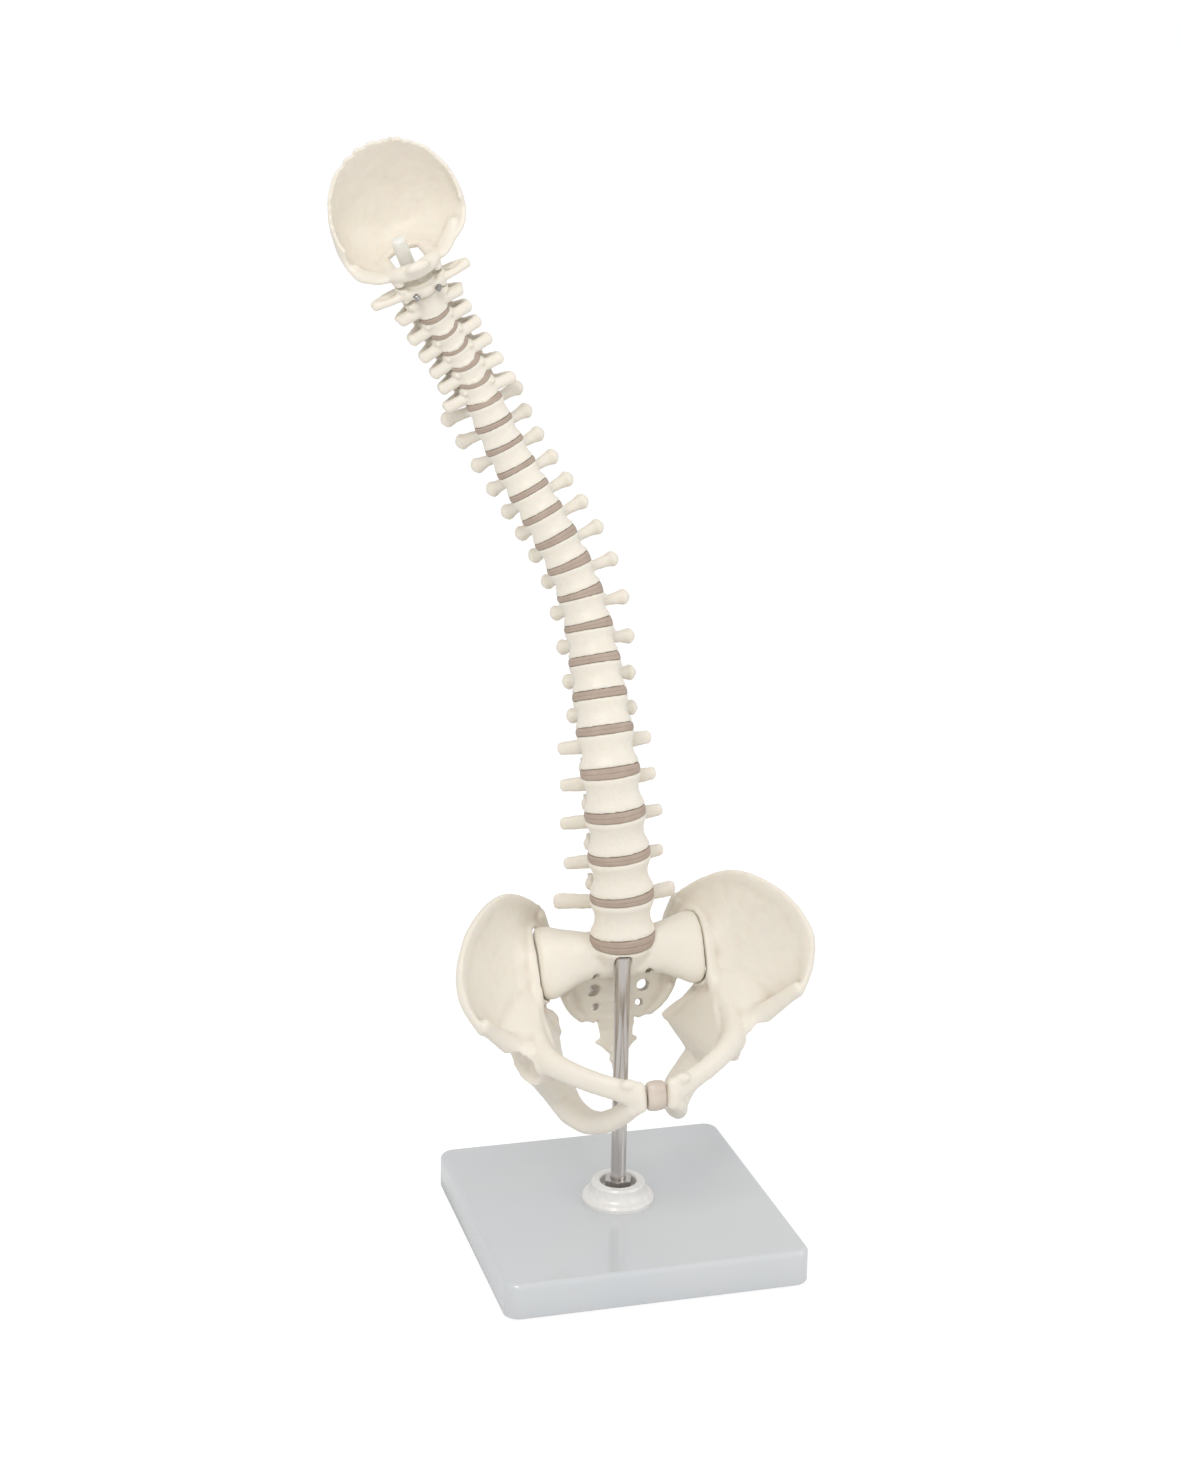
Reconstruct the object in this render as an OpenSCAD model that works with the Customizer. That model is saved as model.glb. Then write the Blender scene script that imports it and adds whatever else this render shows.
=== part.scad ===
// Flexible spine model on a rod stand, about half natural size.
// Z is up, Y points to the back and X to the model's own left. The origin is the centre of the
// underside. Sizes are in millimetres and angles in degrees.
// Levels are numbered 1 to 24 from the lowest lumbar vertebra (L5) up to the atlas (C1).

/* [Base] */
// Side of the square base plate
base_w = 120; // [100:1:140]
// Height of the plate's top above the table
base_top = 15; // [12:0.5:20]
// Radius of the plate's upright corners
base_corner = 6; // [3:0.5:12]
// Radius that rounds the plate's upper edge
base_edge = 2.2; // [1:0.1:4]
// Thickness of the rubber sheet under the plate
sheet_t = 0.8; // [0.5:0.1:2]
// Distance from the sheet's edge to the plate's edge
sheet_inset = 3; // [1:0.5:12]

/* [Rod and fixings] */
// Diameter of the steel rod
rod_d = 6; // [5:0.1:8]
// How far the rod's upper end lies below the sacrum's upper face
rod_top = 3.8; // [2.6:0.1:8]
// Diameter of the white collar at its foot
collar_d = 28.8; // [26:0.2:36]
// Diameter of the collar's upper rim
collar_top_d = 21.5; // [19:0.1:25]
// Height of the collar above the plate
collar_h = 8; // [6:0.5:12]
// Width of a nut across its flats
nut_w = 10; // [9:0.1:11]
// Height of a nut
nut_h = 4.8; // [3:0.1:6]
// Diameter of the pocket in the plate's underside
pocket_d = 24; // [20:0.5:30]
// Depth of that pocket
pocket_h = 7; // [6.4:0.1:9]
// Diameter of the washer above the lower nut
washer_d = 17; // [14:0.5:19]
// Thickness of the washer
washer_t = 1.2; // [0.8:0.1:1.6]
// Clearance around the rod in its bores
bore_gap = 0.15; // [0.1:0.05:0.3]

/* [Spine] */
// Width of the lowest lumbar body
lumbar_w = 25.5; // [22:0.5:28]
// Height of the lowest lumbar body
lumbar_h = 13.8; // [12:0.1:15]
// Width of the lowest thoracic body
chest_w = 21.5; // [19:0.5:23]
// Height of the lowest thoracic body
chest_h = 10.4; // [9.6:0.1:11.2]
// Width of the uppermost thoracic body
shoulder_w = 14.5; // [13:0.1:16]
// Height of the uppermost thoracic body
shoulder_h = 7; // [6.6:0.1:7.4]
// Width of the middle neck bodies
neck_w = 12; // [11:0.1:13]
// Height of the middle neck bodies
neck_h = 5.5; // [5.3:0.1:5.9]
// Height of the axis from its disc to its shoulders
axis_h = 8.4; // [8:0.1:9]
// Height of the atlas
atlas_h = 5.4; // [5:0.1:6]
// Height of the tooth of the axis above its shoulders
dens_h = 6.6; // [5.5:0.1:7]
// Thickness of a lumbar disc
lumbar_disc = 4.2; // [3.8:0.1:4.8]
// Thickness of a thoracic disc
chest_disc = 3.2; // [2.9:0.1:3.6]
// Thickness of a neck disc
neck_disc = 2.1; // [1.9:0.05:2.4]
// Diameter of the flexible tube through the canal
tube_d = 5.4; // [4.6:0.1:5.6]
// Length of tube that shows above the skull's opening
tube_end = 9.5; // [5:0.5:14]
// Gap between pieces that rest on each other
seat_gap = 0.05; // [0.03:0.01:0.15]

/* [Pelvis and head] */
// Height of the sacrum's upper face above the table
sacrum_z = 121.2; // [119.5:0.1:124]
// Sideways offset of the lowest disc from the rod
spine_x = 1.2; // [-1:0.1:2]
// Half width of the sacrum at its wings
wing_x = 33; // [31:0.5:35]
// Half width across the crests of the hip bones
crest_x = 67; // [64:0.5:74]
// Height of the top of the hip bones above the sacrum's upper face
crest_z = 27.4; // [20:0.2:32]
// Thickness of the hip bone's wing
wing_t = 2.6; // [2:0.1:3.4]
// Diameter of the hip joint's cup
cup_d = 22; // [20:0.5:24]
// Half width of the joint between the pubic bones
symphysis_w = 3.4; // [2.4:0.1:4]
// Half width of the skull piece
skull_x = 24.2; // [22:0.2:28]
// Height of the skull piece above its opening
skull_h = 41.5; // [38:0.5:45]
// Wall thickness of the skull piece
skull_t = 2; // [1.5:0.1:2.8]

/* [Hidden] */

bone = [0.93, 0.89, 0.80];
disc_grey = [0.62, 0.56, 0.51];
shell_white = [0.90, 0.91, 0.92];
steel = [0.70, 0.70, 0.70];
rubber_black = [0.12, 0.12, 0.12];
tube_white = [0.95, 0.95, 0.93];

plate_z = sheet_t + seat_gap;
plate_t = base_top - plate_z;
rod_end = sacrum_z - rod_top;
body_sides = 12;
pocket_top = plate_z + pocket_h;
nut_round = 0.5;

function bone_name(i) =
    i == 24 ? "atlas_c1" : i == 23 ? "axis_c2" :
    str("vertebra_", level_name(i));
function level_name(i) =
    i == 0 ? "s1" : i <= 5 ? str("l", 6 - i) : i <= 17 ? str("t", 18 - i) : str("c", 25 - i);
function disc_name(i) = str("disc_", level_name(i), "_", level_name(i - 1));

// The posture in the photograph. Lean is how far a level tips to the front, from the sacrum up,
// bend is how much further each level tips to the right than the one below it, and turn is how
// much further it turns to the left.
sacrum_lean = 16;
lean = [5, 4.5, 3, -4, -12.5, -17, -17.5, -15.5, -10.5, -4.5, -1.5, -2, -2.5, -1, 2, 6, 8.5, 12,
    13.5, 15.5, 19, 22, 24.5, 25];
bend = [3.6, 3, 1, -0, 0.2, 0.4, 0.4, 1.2, 4, 5.8, 5, 2.8, 0.6, -0.6, -1.6, -2.2, -2, 0.2, 4, 4.8,
    1.2, -2.6, -4.2, -3.4];
turn = [-1.8, -1.8, -1.8, -1.8, -1.8, -3, -3, -3, -3, -2, 1, 2, 2.6, 2.6, 2.6, 2.4, 2.2, 1.6, 0, 0, 0, 0, 0, 0];

// Sizes of each level, blended between the named ones
function body_w(i) = lookup(i, [[1, lumbar_w], [5, chest_w + 1], [6, chest_w], [9, chest_w * 0.84],
    [17, shoulder_w], [18, neck_w + 1.4], [20, neck_w], [23, neck_w]]);
function body_ratio(i) = lookup(i, [[1, 0.69], [5, 0.72], [9, 0.80], [17, 0.78], [18, 0.72], [23, 0.74]]);
function body_d(i) = body_w(i) * body_ratio(i);
function body_h(i) = i == 24 ? atlas_h : i == 23 ? axis_h : lookup(i, [[1, lumbar_h],
    [5, lumbar_h - 1.8], [6, chest_h], [9, chest_h - 1], [11, shoulder_h + 1.1],
    [17, shoulder_h], [18, neck_h + 0.6], [19, neck_h]]);
function disc_t(i) = i == 24 ? 0.5 : lookup(i, [[1, lumbar_disc + 0.4], [2, lumbar_disc],
    [5, lumbar_disc - 0.2], [6, chest_disc], [11, chest_disc], [13, chest_disc - 0.9],
    [17, neck_disc], [23, neck_disc]]);
function canal_r(i) = lookup(i, [[1, 4.3], [6, 3.9], [17, 3.7], [24, 3.7]]);
function dent(i) = lookup(i, [[1, 0.16], [6, 0.10], [18, 0.08], [24, 0.08]]);
function canal_y(i) = i == 24 ? canal_y(23) : body_d(i) / 2 * (1 - dent(i)) + canal_r(i) + 0.1;

// Matrices that move and turn
function shift(v) = [[1, 0, 0, v[0]], [0, 1, 0, v[1]], [0, 0, 1, v[2]], [0, 0, 0, 1]];
function turn_x(a) = [[1, 0, 0, 0], [0, cos(a), -sin(a), 0], [0, sin(a), cos(a), 0], [0, 0, 0, 1]];
function turn_y(a) = [[cos(a), 0, sin(a), 0], [0, 1, 0, 0], [-sin(a), 0, cos(a), 0], [0, 0, 0, 1]];
function turn_z(a) = [[cos(a), -sin(a), 0, 0], [sin(a), cos(a), 0, 0], [0, 0, 1, 0], [0, 0, 0, 1]];
function at(m, p) = let (q = m * [p[0], p[1], p[2], 1]) [q[0], q[1], q[2]];

// The frame of each level sits at the centre of its body's lower face. A disc bends about its
// middle, so each step goes up half the disc, turns, and goes up the other half.
sacrum_frame = shift([spine_x, 5.8, sacrum_z]) * turn_x(sacrum_lean);
function lean_step(i) = lean[i - 1] - (i == 1 ? sacrum_lean : lean[i - 2]);
function step(i, m) = m * shift([0, 0, disc_t(i) / 2]) * turn_y(-bend[i - 1]) * turn_x(lean_step(i))
    * turn_z(turn[i - 1]) * shift([0, 0, disc_t(i) / 2]);
function chain(i, m) = i > 24 ? [] :
    let (f = step(i, m)) concat([f], chain(i + 1, f * shift([0, 0, body_h(i)])));
frames = chain(1, sacrum_frame);
function frame(i) = frames[i - 1];
function top_frame(i) = i == 0 ? sacrum_frame : frame(i) * shift([0, 0, body_h(i)]);
skull_frame = top_frame(24) * shift([0, 0, 0.3]);

module place(m) { multmatrix(m) children(); }

// A closed skin over rings of points, filled at its two ends
module loft(rings) {
    n = len(rings[0]);
    last = len(rings) - 1;
    polyhedron(
        points = [for (r = rings) each r],
        faces = concat(
            [[for (k = [0 : n - 1]) k]],
            [for (j = [0 : last - 1], k = [0 : n - 1]) let (a = j * n + k, b = j * n + (k + 1) % n)
                each [[a, b + n, b], [a, a + n, b + n]]],
            [[for (k = [n - 1 : -1 : 0]) last * n + k]]));
}

// A block between corner points, in any order
module block(points) { hull() polyhedron(points, [[for (k = [0 : len(points) - 1]) k]]); }

// The corners of one face of a box given as [centre, size]. The face looks along an axis.
function unit(k) = [k == 0 ? 1 : 0, k == 1 ? 1 : 0, k == 2 ? 1 : 0];
function face(q, k, dir) = let (u = (k + 1) % 3, v = (k + 2) % 3)
    [for (p = [[-1, -1], [1, -1], [1, 1], [-1, 1]])
        q[0] + (dir * q[1][k] * unit(k) + p[0] * q[1][u] * unit(u) + p[1] * q[1][v] * unit(v)) / 2];
function toward(a, b, k) = b[0][k] < a[0][k] ? -1 : 1;

// A tapered bar between two boxes along axis k
module bar(a, b, k = 2) { block(concat(face(a, k, -toward(a, b, k)), face(b, k, toward(a, b, k)))); }

// A tapered bar along axis k that ends in a rounded tip of the given sizes
module horn(a, b, k = 0) {
    block(concat(face(a, k, -toward(a, b, k)),
        [for (j = [0 : 2], dir = [-0.5, 0.5]) b[0] + dir * b[1][j] * unit(j)],
        [for (p = [-0.36, 0.36], q = [-0.36, 0.36]) b[0] + [p * b[1][0], 0, q * b[1][2]]]));
}

// A rounded strut between two balls, each given as [centre, radius]
module strut(a, b, n = 6) {
    hull() {
        translate(a[0]) sphere(r = a[1], $fn = n);
        translate(b[0]) sphere(r = b[1], $fn = n);
    }
}

// A tapered pipe along a path of [point, radius], each ring square to the bisector of its turn
module pipe(path, n = 6) {
    last = len(path) - 1;
    loft([for (k = [0 : last])
        let (a = path[max(0, k - 1)][0], b = path[min(last, k + 1)][0], d = b - a,
            flat = norm([d[0], d[1]]), m = turn_z(atan2(d[1], d[0])) * turn_y(atan2(flat, d[2])))
        [for (j = [0 : n - 1]) path[k][0] + at(m, path[k][1] * [cos(360 * j / n), sin(360 * j / n), 0])]]);
}

// Sub-parts of the stand

module rounded_square(w, r) { offset(r) square(w - 2 * r, center = true); }

module base_plate() {
    color(shell_white) difference() {
        hull() {
            translate([0, 0, plate_z]) linear_extrude(plate_t - base_edge)
                rounded_square(base_w, base_corner, $fn = 32);
            for (a = [0 : 5]) translate([0, 0, base_top - base_edge - 0.01 + base_edge * sin(a * 18)])
                linear_extrude(0.01) rounded_square(base_w - 2 * base_edge * (1 - cos(a * 18)),
                    base_corner, $fn = 32);
        }
        translate([0, 0, -1]) cylinder(d = rod_d + 2 * bore_gap, h = base_top + 2);
        translate([0, 0, -1]) cylinder(d = pocket_d, h = 1 + pocket_top);
    }
}

// The sheet closes the pocket and carries the plate
module base_sheet() {
    color(rubber_black) linear_extrude(sheet_t)
        rounded_square(base_w - 2 * sheet_inset, base_corner, $fn = 32);
}

// A flared collar whose top is sunk for the nut
module base_collar() {
    r = collar_d / 2;
    t = collar_top_d / 2;
    sink_r = nut_w / 2 / cos(30) + 1.4;
    color(shell_white) translate([0, 0, base_top]) rotate_extrude($fn = 96) polygon([
        [rod_d / 2 + bore_gap, 0], [r, 0], [r, collar_h * 0.16], [r - 0.5, collar_h * 0.26],
        for (a = [0 : 15 : 75]) [t + (r - 0.8 - t) * (1 - sin(a)), collar_h * (0.3 + 0.58 * (1 - cos(a)))],
        [t, collar_h * 0.9], [t - 0.5, collar_h], [sink_r + 0.4, collar_h],
        [sink_r, collar_h - 0.4], [sink_r, collar_h - nut_h + 1], [rod_d / 2 + bore_gap, collar_h - nut_h + 1]]);
}

module nut() {
    difference() {
        intersection() {
            cylinder(d = nut_w / cos(30), h = nut_h, $fn = 6);
            rotate_extrude() polygon([[0, 0], [nut_w / 2, 0], [nut_w / 2 + 0.9, nut_round],
                [nut_w / 2 + 0.9, nut_h - nut_round], [nut_w / 2, nut_h], [0, nut_h]]);
        }
        translate([0, 0, -1]) cylinder(d = rod_d + 2 * bore_gap, h = nut_h + 2);
    }
}

// One nut lies in the collar and one against the washer in the underside
module rod_nuts() {
    color(steel) {
        translate([0, 0, base_top + collar_h - nut_h + 1]) rotate(10) nut();
        translate([0, 0, pocket_top - washer_t - nut_h]) nut();
    }
}

module rod_washer() {
    color(steel) translate([0, 0, pocket_top - washer_t]) difference() {
        cylinder(d = washer_d, h = washer_t);
        translate([0, 0, -1]) cylinder(d = rod_d + 2 * bore_gap, h = washer_t + 2);
    }
}

module support_rod() {
    foot = plate_z + 0.8;
    color(steel) translate([0, 0, foot]) rotate_extrude() polygon([[0, 0], [rod_d / 2 - 0.5, 0],
        [rod_d / 2, 0.5], [rod_d / 2, rod_end - foot - 0.5], [rod_d / 2 - 0.5, rod_end - foot], [0, rod_end - foot]]);
}

// Discs and tube

function body_ring(w, d, hollow, z) =
    [for (k = [0 : body_sides - 1]) let (a = 360 * k / body_sides, s = sin(a))
        [w / 2 * cos(a), d / 2 * (s > 0 ? s * (1 - hollow * s * s) : s), z]];

// Widths of a body's lower and upper faces. Neck bodies are narrow below and lipped above.
function low_w(i) = body_w(i) * (i > 17 ? 0.86 : 1);
function low_d(i) = body_d(i);
function high_w(i) = i == 0 ? lumbar_w : body_w(i) * (i > 17 ? 0.84 : 0.98);
function high_d(i) = i == 0 ? lumbar_w * body_ratio(1) : body_d(i) * 0.98;

module disc(i) {
    a = top_frame(i - 1);
    b = frame(i);
    low = [for (p = body_ring(high_w(i - 1) * 0.98, high_d(i - 1) * 0.98, dent(i), seat_gap)) at(a, p)];
    high = [for (p = body_ring(low_w(i) * 0.98, low_d(i) * 0.98, dent(i), -seat_gap)) at(b, p)];
    color(disc_grey) loft([low, high]);
}

function tube_ring(m, y, z) = [for (k = [0 : 7]) at(m, [tube_d / 2 * cos(45 * k), y + tube_d / 2 * sin(45 * k), z])];

// The tube runs from the sacral canal through every arch and ends inside the skull piece
tube_y0 = high_d(0) / 2 * (1 - dent(1)) + canal_r(1) + 0.1;
tube_out = skull_frame * shift([-0.8, 0, 0]);
module core_tube() {
    color(tube_white) loft(concat(
        [tube_ring(sacrum_frame * turn_x(-18), tube_y0 - 1, -9.5)],
        [tube_ring(sacrum_frame, tube_y0, -0.8)],
        [for (i = [1 : 24]) tube_ring(frame(i), canal_y(i), body_h(i) * 0.5)],
        [for (z = [skull_z, skull_z + tube_end - 0.5]) tube_ring(tube_out, canal_y(24) + 0.3, z)],
        [[for (p = tube_ring(tube_out, canal_y(24) + 0.3, skull_z + tube_end))
            let (c = at(tube_out, [0, canal_y(24) + 0.3, skull_z + tube_end])) c + (p - c) * 0.8]]));
}

// Vertebrae

// The body is a short column with a waist. Its shape is that of a kidney in the loin and rounder above.
module vertebral_body(i, h) {
    w = body_w(i);
    d = body_d(i);
    waist = lookup(i, [[1, 0.87], [10, 0.88], [18, 0.92], [23, 0.92]]);
    loft([body_ring(low_w(i), low_d(i), dent(i), 0), body_ring(w * waist, d * waist, dent(i), h * 0.3),
        body_ring(w * waist, d * waist, dent(i), h * 0.7), body_ring(high_w(i), high_d(i), dent(i), h)]);
}

// Ring of bone behind the body: a profile around the canal, sheared so that it falls to the back
module arch(i, low, high, fall) {
    w = body_w(i) * 0.36;
    d = body_d(i);
    r = canal_r(i);
    y = canal_y(i);
    side = [[w, d * 0.2], [r + 2.8, y - 1], [r + 2.4, y + 1.8], [2, y + r + 2.3]];
    multmatrix([[1, 0, 0, 0], [0, 1, 0, 0], [0, -fall, 1, fall * d * 0.4], [0, 0, 0, 1]])
        translate([0, 0, low]) linear_extrude(high - low) difference() {
            polygon(concat(side, [for (k = [3 : -1 : 0]) [-side[k][0], side[k][1]]]));
            translate([0, y]) circle(r = r, $fn = 8);
        }
}

// Half width of each level across its transverse processes
tp_half = [24.4, 20, 20.4, 19, 18.4, 14, 14.5, 15.5, 16, 16, 16, 15.8, 15.6, 15.5, 15.5, 16, 17,
    15.4, 14.2, 14, 14, 14, 14, 19.8];

module lumbar(i) {
    w = body_w(i);
    d = body_d(i);
    h = body_h(i);
    r = canal_r(i);
    y = canal_y(i);
    back = y + r;
    long = i == 1 ? 8 : 11;
    tip = i == 1 ? [3.6, 3.4, 7.4] : [3, 2.8, 5.4];
    vertebral_body(i, h);
    arch(i, h * 0.36, h * 0.88, 0.22);
    for (s = [-1, 1]) {
        // Transverse process
        horn([[s * (r + 2.2), y + 0.2, h * 0.60], [2.6, 3, h * 0.30]],
            [[s * (tp_half[i - 1] - 1.4), y + 1.2, h * (i == 1 ? 0.72 : 0.62)], tip]);
        // Upper facet, which faces inwards, and lower facet, which faces outwards
        bar([[s * (r + 3), y + r * 0.5 + 0.3, h * 0.62], [2, 3.4, h * 0.36]],
            [[s * (r + 4.4), back + 0.1, h + disc_t(i + 1) * 0.5 + (i == 5 ? -0.3 : 0.6)], [2, 3.6, 3.4]]);
        bar([[s * r, back + 0.4, h * 0.30], [2.4, 2.6, h * 0.4]],
            [[s * (r + 0.6), back + 0.8, -disc_t(i) * 0.5 - (i == 5 ? -0.6 : 0.8)], [2, 3.6, 2.8]]);
    }
    // Spinous process, a plate like a hatchet
    bar([[0, back + 1.5, h * 0.38], [2.4, 2.4, h * 0.5]], [[0, back + long - 3, h * 0.26], [2, 2, h * 0.6]], 1);
    bar([[0, back + long - 3.3, h * 0.26], [1.6, 1, h * 0.5]], [[0, back + long, h * 0.2], [3.2, 2, h * 0.72]], 1);
}

module thoracic(i) {
    w = body_w(i);
    d = body_d(i);
    h = body_h(i);
    r = canal_r(i);
    y = canal_y(i);
    back = y + r;
    drop = lookup(i, [[6, 15], [8, 35], [10, 56], [13, 55], [15, 42], [17, 12]]);
    long = lookup(i, [[6, 11], [9, 16], [12, 17], [17, 15]]);
    vertebral_body(i, h);
    arch(i, h * 0.38, h * 0.86, 0.14);
    for (s = [-1, 1]) {
        // Transverse process, a club that points out and back
        horn([[s * (r + 1.6), y + 1, h * 0.56], [2.2, 3, h * 0.34]],
            [[s * (tp_half[i - 1] - 1.8), back + 1.6, h * 0.5], [4, 4, 4.6]]);
        // Upper facet faces back, lower facet lies behind the next one down
        bar([[s * (r + 0.9), y + r - 0.9, h * 0.7], [2.8, 1.6, h * 0.3]],
            [[s * (r + 0.7), back - 0.6, h + disc_t(i + 1) * 0.5], [2.8, 1.3, 2.4]]);
        bar([[s * (r * 0.62), back + 1, h * 0.3], [3, 1.8, h * 0.36]],
            [[s * (r * 0.62 + 0.4), back + 2, -disc_t(i) * 0.5 - 0.2], [3, 1.3, 2.2]]);
    }
    // Spinous process, which slopes down over the next one
    mid = [0, back + 1.7 + long * 0.5 * cos(drop), h * 0.36 - long * 0.5 * sin(drop)];
    tip = [0, back + 1.7 + long * cos(drop), h * 0.34 - long * sin(drop)];
    bar([[0, back + 1.2, h * 0.36], [2.6, 2.2, h * 0.5]], [mid, [1.9, 1.2, 2.8]], 1);
    bar([mid, [1.9, 1.2, 2.8]], [tip, [2.6, 2.4, 2.8]], 1);
}

// Neck bodies carry lips at their sides, pillars that carry the facets, and transverse
// processes that are pierced for the artery
module cervical(i) {
    w = body_w(i);
    d = body_d(i);
    h = body_h(i);
    vertebral_body(i, h);
    for (s = [-1, 1])
        bar([[s * w * 0.43, 0.2, h * 0.72], [w * 0.15, d * 0.62, h * 0.3]],
            [[s * w * 0.48, 0.6, h + disc_t(i) * 0.24], [w * 0.08, d * 0.5, disc_t(i) * 0.5]]);
    neck_arch(i, h);
    neck_spine(i, h);
}

module neck_arch(i, h) {
    r = canal_r(i);
    y = canal_y(i);
    d = body_d(i);
    px = r + 2.5;
    gap = disc_t(i) / 2;
    facet_gap = i <= 20 ? 1.2 : 1.05;
    arch(i, h * 0.2, h * 0.74, 0.06);
    for (s = [-1, 1]) {
        // Pillar with sloping facets above and below
        hull() {
            translate([s * px, y - 0.4, i == 23 ? h * 0.8 : h + gap - facet_gap])
                rotate([-32, 0, 0]) cube([3.6, 4.2, 0.5], center = true);
            translate([s * px, y - 0.2, -gap + facet_gap]) rotate([-32, 0, 0]) cube([3.6, 4.2, 0.5], center = true);
        }
        // Front and back bars of the transverse process around its opening
        horn([[s * body_w(i) * 0.42, d * 0.02, h * 0.5], [1.6, 1.8, h * 0.3]],
            [[s * (tp_half[i - 1] - 1.1), d * 0.16, h * 0.44], [2.4, 2, 2.6]]);
        horn([[s * (px + 0.6), y - 1.6, h * 0.46], [2, 2, h * 0.34]],
            [[s * (tp_half[i - 1] - 1.3), d * 0.16 + 1.6, h * 0.36], [2.6, 2.4, 2.4]]);
    }
}

// Forked spinous process, single and long on C7
module neck_spine(i, h) {
    root = canal_y(i) + canal_r(i) + 1.4;
    long = lookup(i, [[18, 12.5], [19, 8.5], [22, 5.6], [23, 7.2]]);
    tip_z = lookup(i, [[18, -1.2], [19, -1.8], [22, -1], [23, 0]]);
    if (i == 18)
        horn([[0, root, h * 0.34], [2, 2.2, h * 0.5]], [[0, root + long, h * 0.3 + tip_z], [2.8, 3, 3.2]], 1);
    else
        for (s = [-1, 1])
            horn([[s * 0.5, root, h * 0.36], [1.8, 2.2, h * 0.44]],
                [[s * (i == 23 ? 2.2 : 1.5), root + long, h * 0.3 + tip_z], [2.2, 2.6, i == 23 ? 4 : 2.4]], 1);
}

module axis() {
    h = axis_h;
    w = body_w(23);
    d = body_d(23);
    loft([body_ring(low_w(23), low_d(23), dent(23), 0), body_ring(w * 0.9, d * 0.94, dent(23), h * 0.3),
        body_ring(w * 0.72, d * 0.84, dent(23), h * 0.78), body_ring(w * 0.6, d * 0.7, dent(23), h)]);
    // Tooth
    loft([for (q = [[h - 1.5, 2.7], [h + 1, 2.2], [h + dens_h * 0.7, 2.35], [h + dens_h, 1.1]])
        [for (k = [0 : 7]) [q[1] * cos(45 * k), -0.6 + q[1] * sin(45 * k) * 1.05, q[0]]]]);
    // Shoulders that carry the atlas
    for (s = [-1, 1]) hull() {
        translate([s * 6.2, 0.4, h - 1.05]) rotate([0, s * 14, 0]) scale([5.2, 6.4, 1.5]) cylinder(d = 1, h = 1, center = true, $fn = 6);
        translate([s * 4.4, 0.6, h * 0.45]) cube([2.4, 4.4, h * 0.3], center = true);
    }
    neck_arch(23, h);
    neck_spine(23, h);
}

module atlas() {
    h = atlas_h;
    y = canal_y(24);
    r = canal_r(24);
    side = [[8.4, 3], [7.6, y + 1], [r + 1, y + r + 0.2], [1.4, y + r + 2.8]];
    translate([0, 0, h * 0.3]) linear_extrude(h * 0.4) difference() {
        polygon(concat(side, [for (k = [3 : -1 : 0]) [-side[k][0], side[k][1]]]));
        translate([0, y]) circle(r = r + 0.6, $fn = 12);
    }
    for (s = [-1, 1]) {
        // Side mass, hollowed above for the skull
        hull() {
            translate([s * 6.6, 0.6, 0.5]) rotate([0, s * 14, 0]) scale([5.4, 7, 0.9]) cylinder(d = 1, h = 1, center = true, $fn = 6);
            translate([s * 7.4, 0.8, h - 0.4]) rotate([0, -s * 16, 0]) scale([4.4, 8, 0.8]) cylinder(d = 1, h = 1, center = true, $fn = 6);
        }
        // Front arch ahead of the tooth, and back arch
        bar([[s * 5.6, -2.6, h * 0.46], [2.2, 2, h * 0.5]], [[s * 1, -4.7, h * 0.46], [2.6, 1.7, h * 0.62]], 0);
        // Wide transverse process around its opening
        horn([[s * 8.8, -0.6, h * 0.44], [2, 1.8, h * 0.3]], [[s * 17.6, 1, h * 0.44], [4, 3, 3.4]]);
        horn([[s * 8.8, 3.4, h * 0.5], [2, 1.6, h * 0.3]], [[s * 17.6, 2.6, h * 0.44], [4, 3, 3.2]]);
    }
}

// Two close-coiled springs hook the atlas to its neighbours at the front
module atlas_springs() {
    wire = 0.5;
    turns = 5;
    color(steel) place(frame(24)) for (s = [-1, 1])
        translate([s * 3.9, -6.1, atlas_h * 0.3]) rotate([0, s * 30 + 12, 0]) for (k = [0 : turns - 1])
            translate([0, 0, k * wire * 0.9]) rotate_extrude($fn = 24) translate([0.75, 0]) circle(d = wire, $fn = 12);
}

module vertebra(i) {
    color(bone) place(frame(i)) {
        if (i <= 5) lumbar(i);
        else if (i <= 17) thoracic(i);
        else if (i <= 22) cervical(i);
        else if (i == 23) axis();
        else atlas();
    }
}

// Skull piece

skull_y = canal_y(24);
skull_z = 3.8;
// The bowl leans to the left of its opening
skull_off = 3.4;
function skull_in(t) = [7.6 * sin(t), skull_y + 0.4 + 8.2 * cos(t), skull_z];
function skull_rim(t) = [skull_x * sin(t) + skull_off, skull_y + 6 + 10 * cos(t), skull_z + skull_h * (0.44 + 0.56 * cos(t))];
function skull_point(t, v) = let (p = skull_in(t), q = skull_rim(t),
        a = p + [15 * sin(t), 15 * cos(t), -1.5], b = q + [2.5 * sin(t), 4 + 8 * max(0, cos(t)), -(q[2] - 1) * 0.5],
        u = 1 - v)
    u * u * u * p + 3 * u * u * v * a + 3 * u * v * v * b + v * v * v * q;
// The same point on the inner face, one wall thickness along the surface's normal
function inward(t, v) = let (n = cross(skull_point(t + 2, v) - skull_point(t - 2, v),
        skull_point(t, min(1, v + 0.1)) - skull_point(t, max(0, v - 0.1))))
    skull_point(t, v) + n / norm(n) * skull_t;

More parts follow.
